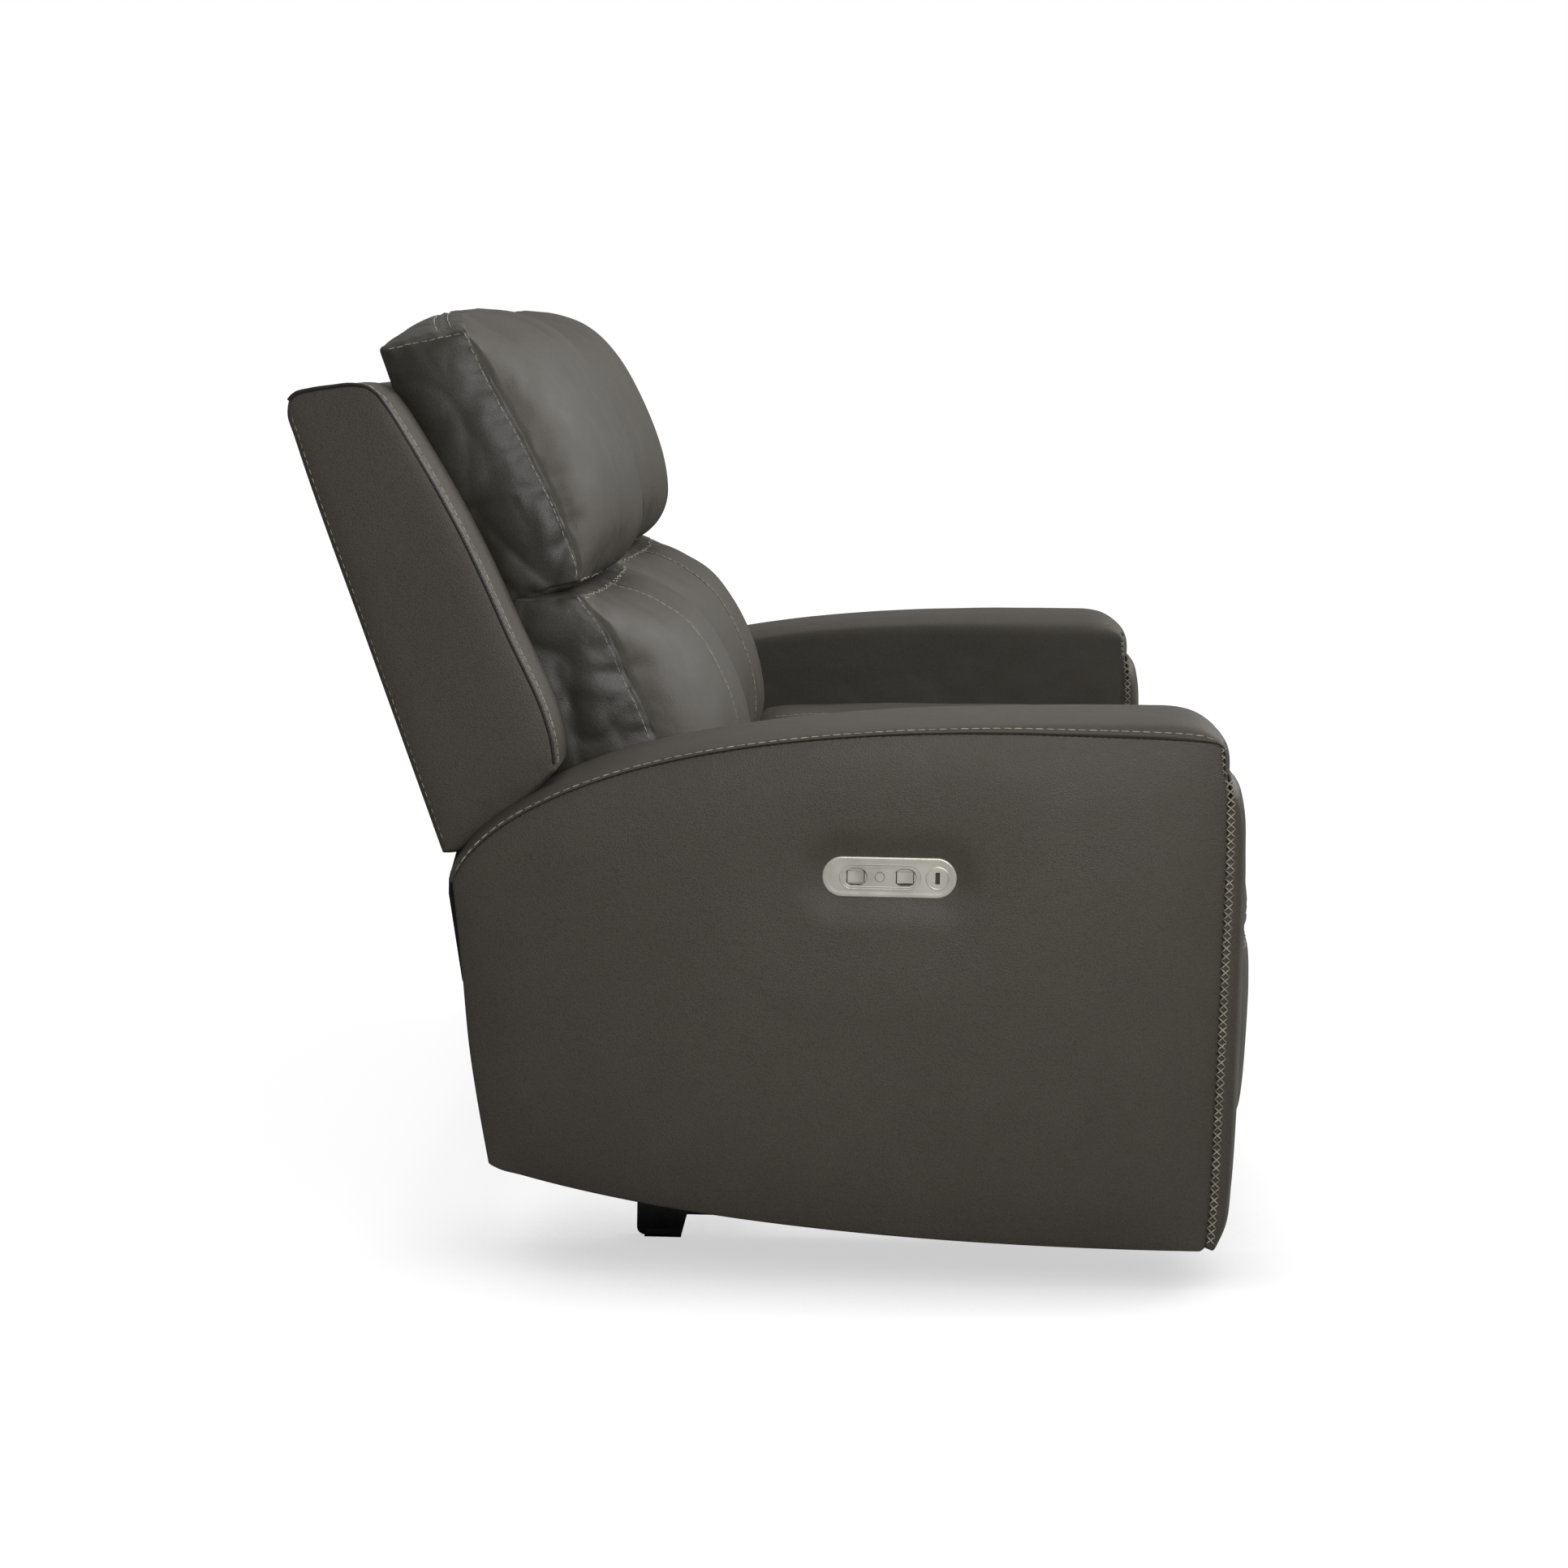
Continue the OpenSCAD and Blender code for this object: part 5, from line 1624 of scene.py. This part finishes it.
@dataclass
class BackCushion(Cushion):
    """A cushion of the back, with wrinkled gussets on its two sides."""

    gusset_width: float = 0.010

    def parts(self, flat: Array) -> tuple[Array, Array]:
        """Tells the gussets from the face.

        Args:
            flat: Lattice places of the vertices.

        Returns:
            How far each is on a gusset, and how far on the face.
        """
        a, c = flat[:, 0], flat[:, 2]
        aside = np.minimum(a, self.size[0] - a)
        gusset = 1 - smooth_step(aside, 0.0, self.gusset_width)
        return gusset, smooth_step(c, self.depth - 0.012, self.depth - 0.002) * (1 - gusset)

    def gathered(self, across: Array, b: Place, waves: float) -> Row:
        """Returns a row that wavers as leather does where it is gathered."""
        return Row(self.line(across, b + 0.0022 * np.sin(across * waves), self.depth),
                   GATHERED_EDGE)


@dataclass
class HeadCushion(BackCushion):
    """The tall top cushion, with a boxed top."""

    top_seams: tuple[float, float] = (0.020, 0.031)

    def relief(self, flat: Array, places: Array) -> Array:
        """Adds seams, gusset wrinkles and the gathers above the lower seam.

        Args:
            flat: Lattice places of the vertices.
            places: Their places on this side.

        Returns:
            How far the leather stands out at each.
        """
        _, height, depth = self.size
        a, b, c = flat.T
        clouds = Clouds(self.seed)
        gusset, on_face = self.parts(flat)
        total = self.edge_seams(flat, 0.0016, 0.0030)
        soft = (crest(b / height, 3) * crest(c / depth, 3)
                * (0.5 + 0.6 * smooth_step(-b / height, -0.8, -0.1)))
        slant = places @ np.array([[1, 0, 0], [0, 0.93, 0.36], [0, -0.36, 0.93]])
        total += gusset * soft * (0.0074 * clouds.billow(slant * np.array([6, 13, 7]), 2)
                                  - 0.0050 * clouds.folds(slant * np.array([4, 10, 5]) + 2.3, 2))
        total += on_face * 0.0016 * clouds.billow(places * np.array([5, 4, 4]), 3)
        low, high = np.exp(-b / 0.055), np.exp(-(height - b) / 0.03)
        wave = clouds.at(np.stack([a * 75, b * 5, c * 0 + 3.1], 1))
        streak = clouds.at(np.stack([a * 22, b * 2.2, c * 0 + 9.7], 1))
        total += on_face * (wave * (0.0028 * low + 0.0008 * high) + 0.0009 * streak * (1 - low))
        roof = smooth_step(b, height - 0.008, height - 0.001) * (1 - gusset)
        return total - roof * sum(groove(c - (depth - gap), 0.0022, 0.0028)
                                  for gap in self.top_seams)

    def rows(self) -> list[Row]:
        """Lays the rows along both side seams, over the top and along the foot.

        Returns:
            The rows.
        """
        width, height, depth = self.size
        along = np.linspace(0.012, height - 0.004, 80)
        back = np.linspace(0.012, depth - 0.010, 50)
        across = np.linspace(0.012, width - 0.012, 120)
        rows = []
        for a in (0.0, width):
            rows += [Row(self.line(a, along, depth - 0.005)),
                     Row(self.line(a, height - 0.005, back))]
        rows += [Row(self.line(across, height, depth - gap)) for gap in (0.016, 0.035)]
        return rows + [self.gathered(across, 0.006, 260)]


@dataclass
class LumbarCushion(BackCushion):
    """The lower back cushion, with two seams down its face."""

    def relief(self, flat: Array, places: Array) -> Array:
        """Adds seams, gusset wrinkles and the puckers at its foot.

        Args:
            flat: Lattice places of the vertices.
            places: Their places on this side.

        Returns:
            How far the leather stands out at each.
        """
        _, height, depth = self.size
        a, b, c = flat.T
        clouds = Clouds(self.seed)
        gusset, on_face = self.parts(flat)
        total = self.edge_seams(flat, 0.0016, 0.0030)
        total -= on_face * self.face_seams(a, 0.0016, 0.0010, 0.02)
        soft = crest(b / height, 3) * crest(c / depth, 3)
        total += gusset * soft * (0.0072 * clouds.billow(places * np.array([6, 12, 10]), 2)
                                  - 0.0050 * clouds.folds(places * np.array([4, 9, 8]) + 5.3, 2))
        total += on_face * 0.0015 * clouds.billow(places * np.array([5, 5, 5]), 3)
        low = np.exp(-((b - 0.12) / 0.045) ** 2) + np.exp(-b / 0.05)
        wave = clouds.at(np.stack([a * 46, b * 7, c * 0 + 3.1], 1))
        total += on_face * low * 0.0052 * np.minimum(wave, 0.15)
        high = np.exp(-(height - b) / 0.035)
        total += on_face * high * 0.0018 * clouds.at(np.stack([a * 60, b * 5, c * 0 + 6.1], 1))
        return total

    def rows(self) -> list[Row]:
        """Lays the rows along both side seams, beside the face's and at the top.

        Returns:
            The rows.
        """
        width, height, depth = self.size
        along = np.linspace(0.02, height - 0.004, 80)
        across = np.linspace(0.012, width - 0.012, 120)
        sides = [Row(self.line(a, along, depth - 0.005)) for a in (0.0, width)]
        return sides + self.face_rows(along) + [self.gathered(across, height - 0.006, 240)]


@dataclass
class SeatCushion(Cushion):
    """The seat, with a boxed edge and two seams over its face."""

    def relief(self, flat: Array, places: Array) -> Array:
        """Adds the seams and the soft sag of a sat-on seat.

        Args:
            flat: Lattice places of the vertices.
            places: Their places on this side.

        Returns:
            How far the leather stands out at each.
        """
        _, length, depth = self.size
        a, b, c = flat.T
        clouds = Clouds(self.seed)
        on_face = smooth_step(c, depth - 0.03, depth - 0.005)
        total = self.edge_seams(flat, 0.0022, 0.0035)
        total -= on_face * self.face_seams(a, 0.0018, 0.0020, 0.03)
        total += on_face * 0.0022 * clouds.billow(places * np.array([6, 6, 6]), 3)
        total -= on_face * 0.0012 * clouds.folds(places * np.array([9, 5, 5]), 2)
        front = smooth_step(b, length - 0.012, length - 0.004)
        return total - front * groove(c - depth * 0.42, 0.0024, 0.0035)

    def rows(self) -> list[Row]:
        """Lays the rows along both side seams and beside the face's.

        Returns:
            The rows.
        """
        width, length, depth = self.size
        along = np.linspace(0.03, length - 0.03, 120)
        sides = [Row(self.line(a, along, depth)) for a in (0.0045, width - 0.0045)]
        return sides + self.face_rows(along)


@dataclass
class Pad(Cushion):
    """A tight pad: the footrest, and the flap behind it."""

    def relief(self, flat: Array, places: Array) -> Array:
        """Adds the edge seams, the face's seams and small tugs.

        Args:
            flat: Lattice places of the vertices.
            places: Their places on this side.

        Returns:
            How far the leather stands out at each.
        """
        on_face = smooth_step(flat[:, 2], self.depth * 0.5, self.depth)
        total = self.edge_seams(flat, 0.0016, 0.0035)
        total -= on_face * self.face_seams(flat[:, 0], 0.0022, 0.0025, 0.025)
        wave = Clouds(self.seed).billow(places * np.array([6, 8, 8]), 3)
        return total + on_face * 0.0014 * wave

    def rows(self) -> list[Row]:
        """Lays the rows beside the face's seams and along its upper edge.

        Returns:
            The rows.
        """
        width, height, depth = self.size
        across = np.linspace(0.02, width - 0.02, 120)
        rows = self.face_rows(np.linspace(0.02, height - 0.02, 60))
        return rows + [Row(self.line(across, height - 0.016, depth))]


BACK_ROOT = np.array([0.3643, 0.4450])
BACK_UP = np.array([0.34857, 0.93728])
BACK_FRONT = np.array([-0.93728, 0.34857])


def back_at(up: float, ahead: float) -> tuple[float, float]:
    """Returns the (y, z) place that far up the back's rear face and ahead of it."""
    y, z = BACK_ROOT + up * BACK_UP + ahead * BACK_FRONT
    return (float(y), float(z))


FLAP_TOP = np.array([-0.37877, 0.30567])
FLAP_DOWN = np.array([0.08716, -0.99619])
FLAP_OUT = np.array([-0.99619, -0.08716])


def flap_at(down: float, out: float) -> tuple[float, float]:
    """Returns the (y, z) place that far down the flap and out from its hinge line."""
    y, z = FLAP_TOP + down * FLAP_DOWN + out * FLAP_OUT
    return (float(y), float(z))


THIRDS = (0.2020, 0.4040)


@dataclass
class Seat:
    """One seat's soft pieces."""

    side: Side

    def head(self) -> HeadCushion:
        """Sizes the head cushion.

        Returns:
            The cushion.
        """
        return HeadCushion(
            "head_cushion", self.side, f"{self.side.word}_headrest", (-0.6050, -0.0180),
            Path([(0.2345, 0.7300), (0.2360, 0.7450), (0.248, 0.7800), (0.261, 0.812),
                  (0.298, 0.885), (0.334, 0.948), (0.363, 1.0050)]),
            Path([(0.228, 0.7280), (0.206, 0.7350), (0.194, 0.7500), (0.1895, 0.775),
                  (0.190, 0.800), (0.196, 0.836), (0.210, 0.879), (0.230, 0.922), (0.253, 0.961),
                  (0.283, 0.996), (0.313, 1.0180), (0.345, 1.0280), (0.378, 1.0300)]),
            Path([(0.312, 0.703), (0.329, 0.7220), (0.350, 0.750), back_at(0.34, 0.102),
                  back_at(0.42, 0.098), back_at(0.5370, 0.098)]),
            Path([(0.306, 0.715), (0.325, 0.7270), (0.348, 0.752), back_at(0.34, 0.102),
                  back_at(0.42, 0.098), back_at(0.5400, 0.098)]),
            # The side gussets take a darker copy of the leather: painted shade.
            depth=0.125, cells=(54, 36, 13), lining=0.022, dark_gusset=True, side_puff=0.005,
            end_puff=(0.004, 0.017), seed=3, swell=0.006, fill=0.75, crown_power=1.8)

    def lumbar(self) -> LumbarCushion:
        """Sizes the lumbar cushion.

        Returns:
            The cushion.
        """
        return LumbarCushion(
            "lumbar_cushion", self.side, f"{self.side.word}_back", (-0.6060, -0.0060),
            Path([(0.112, 0.404), (0.118, 0.450), (0.134, 0.510), (0.158, 0.576), (0.184, 0.630),
                  (0.209, 0.682), (0.237, 0.7180)]),
            Path([(0.088, 0.402), (0.076, 0.425), (0.060, 0.470), (0.054, 0.510), (0.058, 0.550),
                  (0.074, 0.602), (0.102, 0.653), (0.138, 0.695), (0.178, 0.7170),
                  (0.215, 0.7200)]),
            Path([back_at(-0.085, 0.097), back_at(0.245, 0.097)], False),
            Path([back_at(-0.085, 0.097), back_at(0.243, 0.097)], False),
            # The side gussets take a darker copy of the leather: painted shade.
            depth=0.17, cells=(54, 32, 15), seams=((0.2000, 0.4000), (), ()), dark_gusset=True,
            side_puff=0.003, end_puff=(0.0, 0.004), seed=7, swell=0.006, fill=0.75,
            crown_power=1.9)

    def seat(self) -> SeatCushion:
        """Sizes the seat cushion.

        Returns:
            The cushion.
        """
        low = Path([(0.066, 0.3355), (-0.4880, 0.3355)])
        low_mid = Path([(0.066, 0.3355), (-0.5300, 0.3355)])
        return SeatCushion(
            "seat_cushion", self.side, f"{self.side.word}_carriage", (-0.6095, -0.0030),
            Path([(0.066, 0.470), (-0.25, 0.476), (-0.36, 0.472), (-0.425, 0.458), (-0.463, 0.436),
                  (-0.4840, 0.405)]),
            Path([(0.066, 0.480), (-0.25, 0.492), (-0.36, 0.490), (-0.440, 0.478), (-0.490, 0.455),
                  (-0.5180, 0.425)]),
            low, low_mid, sole=0.34, depth=0.140, radius=(0.016, 0.024, 0.022), cells=(50, 46, 7),
            seams=(THIRDS, (), ()), side_puff=0.0015, seed=13, swell=0.006, fill=0.8,
            crown_power=2.2)

    def footrest(self) -> Pad:
        """Sizes the footrest pad.

        Returns:
            The pad.
        """
        rear = Path([(-0.4546, 0.1250), (-0.4546, 0.3490)])
        return Pad(
            "footrest_pad", self.side, f"{self.side.word}_footrest", (-0.6095, -0.0030),
            Path([(-0.4880, 0.1250), (-0.4905, 0.24), (-0.4895, 0.3490)]),
            Path([(-0.522, 0.1250), (-0.5290, 0.20), (-0.5305, 0.28), (-0.5290, 0.3490)]),
            rear, rear, depth=0.072, radius=(0.010, 0.014, 0.018), cells=(50, 18, 4), lining=0.012,
            seams=(THIRDS, (), ()), sole=0.15, side_puff=0.0015, seed=17, swell=0.004, fill=0.8,
            crown_power=2.2)

    def flap(self) -> Pad:
        """Sizes the flap behind the footrest.

        Returns:
            The flap.
        """
        face = Path([flap_at(0.163, 0.050), flap_at(0.018, 0.050)])
        rear = Path([flap_at(0.163, 0.0145), flap_at(0.018, 0.0145)])
        return Pad(
            "flap", self.side, f"{self.side.word}_outer", (-0.5770, -0.0380),
            face, face, rear, rear, depth=0.0355, radius=(0.010, 0.012, 0.012), cells=(44, 11, 2),
            side_puff=0.0005, seed=19, swell=0.003, fill=0.8, crown_power=4.0)

    def build(self) -> None:
        """Builds, dresses and sews the seat's cushions."""
        for cushion in (self.head(), self.lumbar(), self.seat(), self.footrest(), self.flap()):
            piece = cushion.build()
            node = f"{self.side.word}_{cushion.name}"
            zones = cushion.zones(piece)
            finish_piece(piece, SMOOTH, cushion.body, [node])
            number = np.zeros(len(piece.data.polygons), np.int32)
            for finish, faces in zones:
                piece.data.materials.append(finish.material())
                number[faces] = len(piece.data.materials) - 1
            piece.data.polygons.foreach_set("material_index", number)
            Sewing.sew(f"{node}_thread", cushion.rows(), piece, cushion.body)


# ---------------------------------------------------------------- back shell


@dataclass
class Shell:
    """The upholstered back of one seat: rear panel, centre wall and wing."""

    side: Side
    edge: float = 0.006

    @property
    def body(self) -> str:
        """The body that the shell rides on."""
        return f"{self.side.word}_back"

    def upholster(self, name: str, places: Array, quads: Array) -> bpy.types.Object:
        """Makes one of the shell's grained pieces from the left side's places."""
        return upholster(f"{self.side.word}_{name}", places * self.side.flip, quads, GRAINED,
                         self.body, [f"{self.side.word}_back_shell"])

    def build(self) -> None:
        """Builds the shell's pieces."""
        self.wing()
        self.rear()
        self.centre()

    def wing(self) -> None:
        """Builds the grained wing over the arm, with its piping and topstitch."""
        low = Path([(0.3680, 0.4490), (0.352, 0.4500), (0.327, 0.4720), (0.300, 0.4930),
                    (0.272, 0.5150), (0.2480, 0.5400)])
        high = Path([(0.5345, 0.9260), (0.5270, 0.9345), (0.5120, 0.9390), (0.488, 0.9430),
                     (0.466, 0.9455), (0.4500, 0.9430), (0.4390, 0.9350)])
        front = Path([(0.2480, 0.5400), (0.2500, 0.5600), (0.305, 0.695), (0.358, 0.8040),
                      (0.4090, 0.8900), (0.4280, 0.9200), (0.4390, 0.9350)])
        rear = Path([(0.3680, 0.4490), (0.4500, 0.6720), (0.5220, 0.8690), (0.5300, 0.8930),
                     (0.5365, 0.9120), (0.5345, 0.9260)])
        rounded, share, quads = Block((0.145, 0.50, 0.146), (self.edge,) * 3, (18, 52, 18),
                                      outline=True).shares()
        yz = coons(rear, front, low, high)(share[:, 0], share[:, 1])
        puff = crest(share[:, 1], 5) * crest(share[:, 2], 3)
        yz[:, 0] -= 0.006 * puff * smooth_step(share[:, 0], 0.90, 1.0)
        places = np.stack([-(0.611 + rounded[:, 2]), yz[:, 0], yz[:, 1]], 1)
        outside = smooth_step(share[:, 2], 0.85, 1.0)
        tight = plateau(share[:, 0], 6) * plateau(share[:, 1], 8)
        places[:, 0] -= 0.004 * tight * outside
        clouds = Clouds(31)
        wave = clouds.billow(places * self.side.flip * np.array([6, 6, 6]), 2)
        places[:, 0] -= 0.0010 * wave * tight * outside
        corner = np.exp(-(((share[:, 0] - 1) / 0.5) ** 2) - (share[:, 1] / 0.10) ** 2)
        gather = clouds.at(share * np.array([7, 60, 3]))
        places[:, 0] -= 0.0022 * gather * corner * smooth_step(share[:, 2], 0.8, 1.0)
        piece = self.upholster("back_wing", places, quads)
        line = np.concatenate([front.at(np.linspace(0.02, 1, 80)),
                               high.at(np.linspace(0.02, 0.98, 40))[::-1]])
        Cord.lay(f"{self.side.word}_wing_piping",
                 self.side.line(-0.7565, line + np.array([0.0009, -0.0009])), 0.0021, self.body)
        ahead = np.concatenate([
            front.at(np.linspace(0.015, 1, 80)) + np.array([-0.006, 0.0]),
            high.at(np.linspace(0.03, 0.98, 40))[::-1] + np.array([0, 0.002])])
        behind = rear.at(np.linspace(0.03, 0.97, 80)) + np.array([-0.006, 0.0])
        Sewing.sew(f"{self.side.word}_wing_thread", [
            Row(self.side.line(-0.757 + 0.010, ahead), WING_FRONT),
            Row(self.side.line(-0.758, behind), WING_REAR)], piece, self.body)

    def rear(self) -> None:
        """Builds the rear panel, which turns over the top."""
        outer = Path([back_at(0.0, 0.0), back_at(0.25, 0.0), back_at(0.46, 0.0),
                      back_at(0.485, 0.0), back_at(0.500, 0.0030), (0.5330, 0.9270),
                      (0.5200, 0.9350), (0.488, 0.9400), (0.4405, 0.9400)])
        inner = Path([back_at(0.0, 0.030), back_at(0.25, 0.030), back_at(0.44, 0.030),
                      back_at(0.460, 0.030), back_at(0.475, 0.034), (0.4920, 0.9120),
                      (0.4820, 0.9135), (0.46, 0.9135), (0.4405, 0.9135)])
        rounded, share, quads = Block((0.6098, 0.60, 0.028), (self.edge,) * 3,
                                      (50, 56, 2)).shares()
        yz = inner.at(share[:, 1])
        yz = yz + share[:, 2:3] * (outer.at(share[:, 1]) - yz)
        puff = crest(share[:, 0], 5) * crest(share[:, 1] / 0.84, 5)
        yz += (0.0035 * puff * smooth_step(share[:, 2], 0.5, 1.0))[:, None] * -BACK_FRONT
        places = np.stack([-0.6107 + rounded[:, 0], yz[:, 0], yz[:, 1]], 1)
        piece = self.upholster("back_panel", places, quads)
        run = outer.at(np.linspace(0.02, 0.98, 140))
        rows = [Row(self.side.line(x, run), BACK_EDGE) for x in (-0.602, -0.012)]
        foot = outer.at(np.full(100, 0.022))
        rows.append(Row(self.side.line(np.linspace(-0.598, -0.016, 100), foot), BACK_EDGE))
        Sewing.sew(f"{self.side.word}_panel_thread", rows, piece, self.body)

    def centre(self) -> None:
        """Builds the thin wall beside the other seat."""
        rear = Path([back_at(0.012, 0.0285), back_at(0.462, 0.0285)])
        front = Path([back_at(0.020, 0.0955), back_at(0.462, 0.0955)])
        rounded, share, quads = Block((0.0240, 0.45, 0.067), (0.004,) * 3, (1, 40, 6)).shares()
        yz = rear.at(share[:, 1])
        yz = yz + share[:, 2:3] * (front.at(share[:, 1]) - yz)
        places = np.stack([-0.0250 + rounded[:, 0], yz[:, 0], yz[:, 1]], 1)
        self.upholster("back_centre_wall", places, quads)


# ---------------------------------------------------------------- frame pieces


class Hardware:
    """Gives the frame's own pieces their finishes."""

    def dress(self) -> None:
        """Dresses every piece of the frame that still shows."""
        for name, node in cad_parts.items():
            if node.hide_render:
                continue
            finish = NODE_FINISHES.get(name.removeprefix("left_").removeprefix("right_"))
            for number, slot in enumerate(node.data.materials):
                chosen = finish or FRAME_FINISHES[slot.name.split(".")[0]]
                node.data.materials[number] = chosen.material()
            LOG.info("%s: finish of the frame's piece", name)


# ---------------------------------------------------------------- stage


@dataclass
class Stage:
    """Camera, lamps, floor and backdrop."""

    camera_at: tuple[float, float, float] = (-4.61, -0.0487, 1.0089)
    focal: float = 4500.0
    picture: float = 1932.0
    ahead_at: tuple[float, float] = (1040.0, 410.0)
    roll: float = 0.02
    floor_half: float = 60.0

    def camera(self) -> None:
        """Makes the camera, which looks along the sofa from its left end."""
        centre = self.picture / 2
        dx, dy = self.ahead_at[0] - centre, self.ahead_at[1] - centre
        c, s = math.cos(self.roll), math.sin(self.roll)
        across, down = c * dx + s * dy, -s * dx + c * dy
        tilt = math.atan(-down / self.focal)
        turn = math.atan(across / self.focal * math.cos(tilt))
        level = Vector((math.cos(turn), math.sin(turn), 0))
        up_axis = Vector((0, 0, 1))
        ahead = math.cos(tilt) * level - math.sin(tilt) * up_axis
        up = math.sin(tilt) * level + math.cos(tilt) * up_axis
        right = level.cross(up_axis)
        rolled_right = c * right + s * up
        rolled_up = c * up - s * right
        data = bpy.data.cameras.new("camera")
        data.sensor_width = 36.0
        data.lens = self.focal / self.picture * data.sensor_width
        camera = place_object("camera", data)
        turned = Matrix((rolled_right, rolled_up, -ahead)).transposed()
        camera.matrix_world = Matrix.Translation(self.camera_at) @ turned.to_4x4()
        bpy.context.scene.camera = camera

    def lamp(self, name: str, at: tuple[float, float, float],
             target: tuple[float, float, float], size: float, power: float) -> None:
        """Adds a square soft lamp that faces a target.

        Args:
            name: Its name.
            at: Its place.
            target: The place that it faces.
            size: Its side in metres.
            power: Its power in watts.
        """
        data = bpy.data.lights.new(name, "AREA")
        data.size, data.energy = size, power
        lamp = place_object(name, data)
        lamp.visible_camera = False
        turned = (Vector(target) - Vector(at)).to_track_quat("-Z", "Y").to_matrix()
        lamp.matrix_world = Matrix.Translation(at) @ turned.to_4x4()

    def world(self) -> None:
        """Sets a soft grey surround that shows as white behind the sofa and through glass."""
        world = bpy.data.worlds.new("studio")
        bpy.context.scene.world = world
        world.use_nodes = True
        nodes = Nodes(world.node_tree)
        path = nodes.add("ShaderNodeLightPath").outputs
        seen = nodes.maths("MAXIMUM", path["Is Camera Ray"], path["Is Transmission Ray"])
        ray = nodes.add("ShaderNodeTexCoord").outputs["Generated"]
        height = nodes.add("ShaderNodeSeparateXYZ", {0: ray}).outputs[2]
        sky = nodes.ramp(height, -0.1, 0.9, 0.20, 0.52)
        fill = nodes.add("ShaderNodeBackground", {"Color": (1, 1, 1, 1), "Strength": sky})
        white = nodes.add("ShaderNodeBackground", {"Color": (1, 1, 1, 1), "Strength": 1.0})
        mix = nodes.add("ShaderNodeMixShader", {0: seen, 1: fill.outputs[0], 2: white.outputs[0]})
        out = nodes.add("ShaderNodeOutputWorld")
        world.node_tree.links.new(mix.outputs[0], out.inputs[0])

    def floor(self) -> None:
        """Lays a wide white floor that glows for the camera, with a painted shadow about the sofa,
        and keeps the lamps' faint shadow in its dim diffuse part.
        """
        mesh = bpy.data.meshes.new("floor")
        corners = ((-1, -1), (1, -1), (1, 1), (-1, 1))
        mesh.from_pydata([(self.floor_half * x, self.floor_half * y, 0) for x, y in corners], [],
                         [(0, 1, 2, 3)])
        floor = place_object("floor", mesh)
        made = bpy.data.materials.new("floor_white")
        made.use_nodes = True
        nodes = Nodes(made.node_tree)
        dull = nodes.add("ShaderNodeBsdfDiffuse", {"Color": (0.35, 0.35, 0.35, 1)})
        matt = nodes.add("ShaderNodeBsdfDiffuse", {"Color": (0.16, 0.16, 0.16, 1)})
        where = nodes.add("ShaderNodeTexCoord").outputs["Object"]
        far = nodes.add("ShaderNodeVectorMath", {0: where}, operation="LENGTH").outputs["Value"]
        # Painted shadow: the camera sees the floor glow, dimmer where ambient occlusion finds the
        # sofa close and a little dimmer near the middle.
        near = nodes.add("ShaderNodeAmbientOcclusion", {"Distance": 0.24}, samples=8).outputs["AO"]
        level = nodes.maths("MULTIPLY", nodes.ramp(near, 0.42, 0.92, 0.64, 1.0),
                            nodes.ramp(far, 1.1, 2.6, 0.93, 1.0))
        glow = nodes.add("ShaderNodeEmission", {"Color": (1, 1, 1, 1), "Strength": level})
        path = nodes.add("ShaderNodeLightPath").outputs
        both = nodes.add("ShaderNodeAddShader", {0: matt.outputs[0], 1: glow.outputs[0]})
        mix = nodes.add("ShaderNodeMixShader", {0: path["Is Camera Ray"], 1: dull.outputs[0],
                        2: both.outputs[0]})
        out = nodes.add("ShaderNodeOutputMaterial")
        made.node_tree.links.new(mix.outputs[0], out.inputs[0])
        mesh.materials.append(made)

    def build(self) -> None:
        """Sets the stage."""
        self.camera()
        self.world()
        self.floor()
        self.lamp("key", (1.5, -3.0, 2.9), (0, 0.1, 0.6), 2.6, 140)
        self.lamp("top", (0.2, 0.1, 3.4), (0, 0, 0.4), 2.4, 30)
        self.lamp("near", (-2.10, -0.50, 1.20), (-0.80, -0.12, 0.45), 0.9, 17)
        bpy.context.scene.view_settings.view_transform = "Standard"


def main() -> None:
    """Builds the sofa's looks."""
    logging.basicConfig(level=logging.INFO, format="%(name)s: %(message)s")
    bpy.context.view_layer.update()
    Stage().build()
    for side in Side:
        Arm(side).build()
        ControlPanel(side).build()
        Shell(side).build()
        Seat(side).build()
    Hardware().dress()


if __name__ == "__main__":
    main()
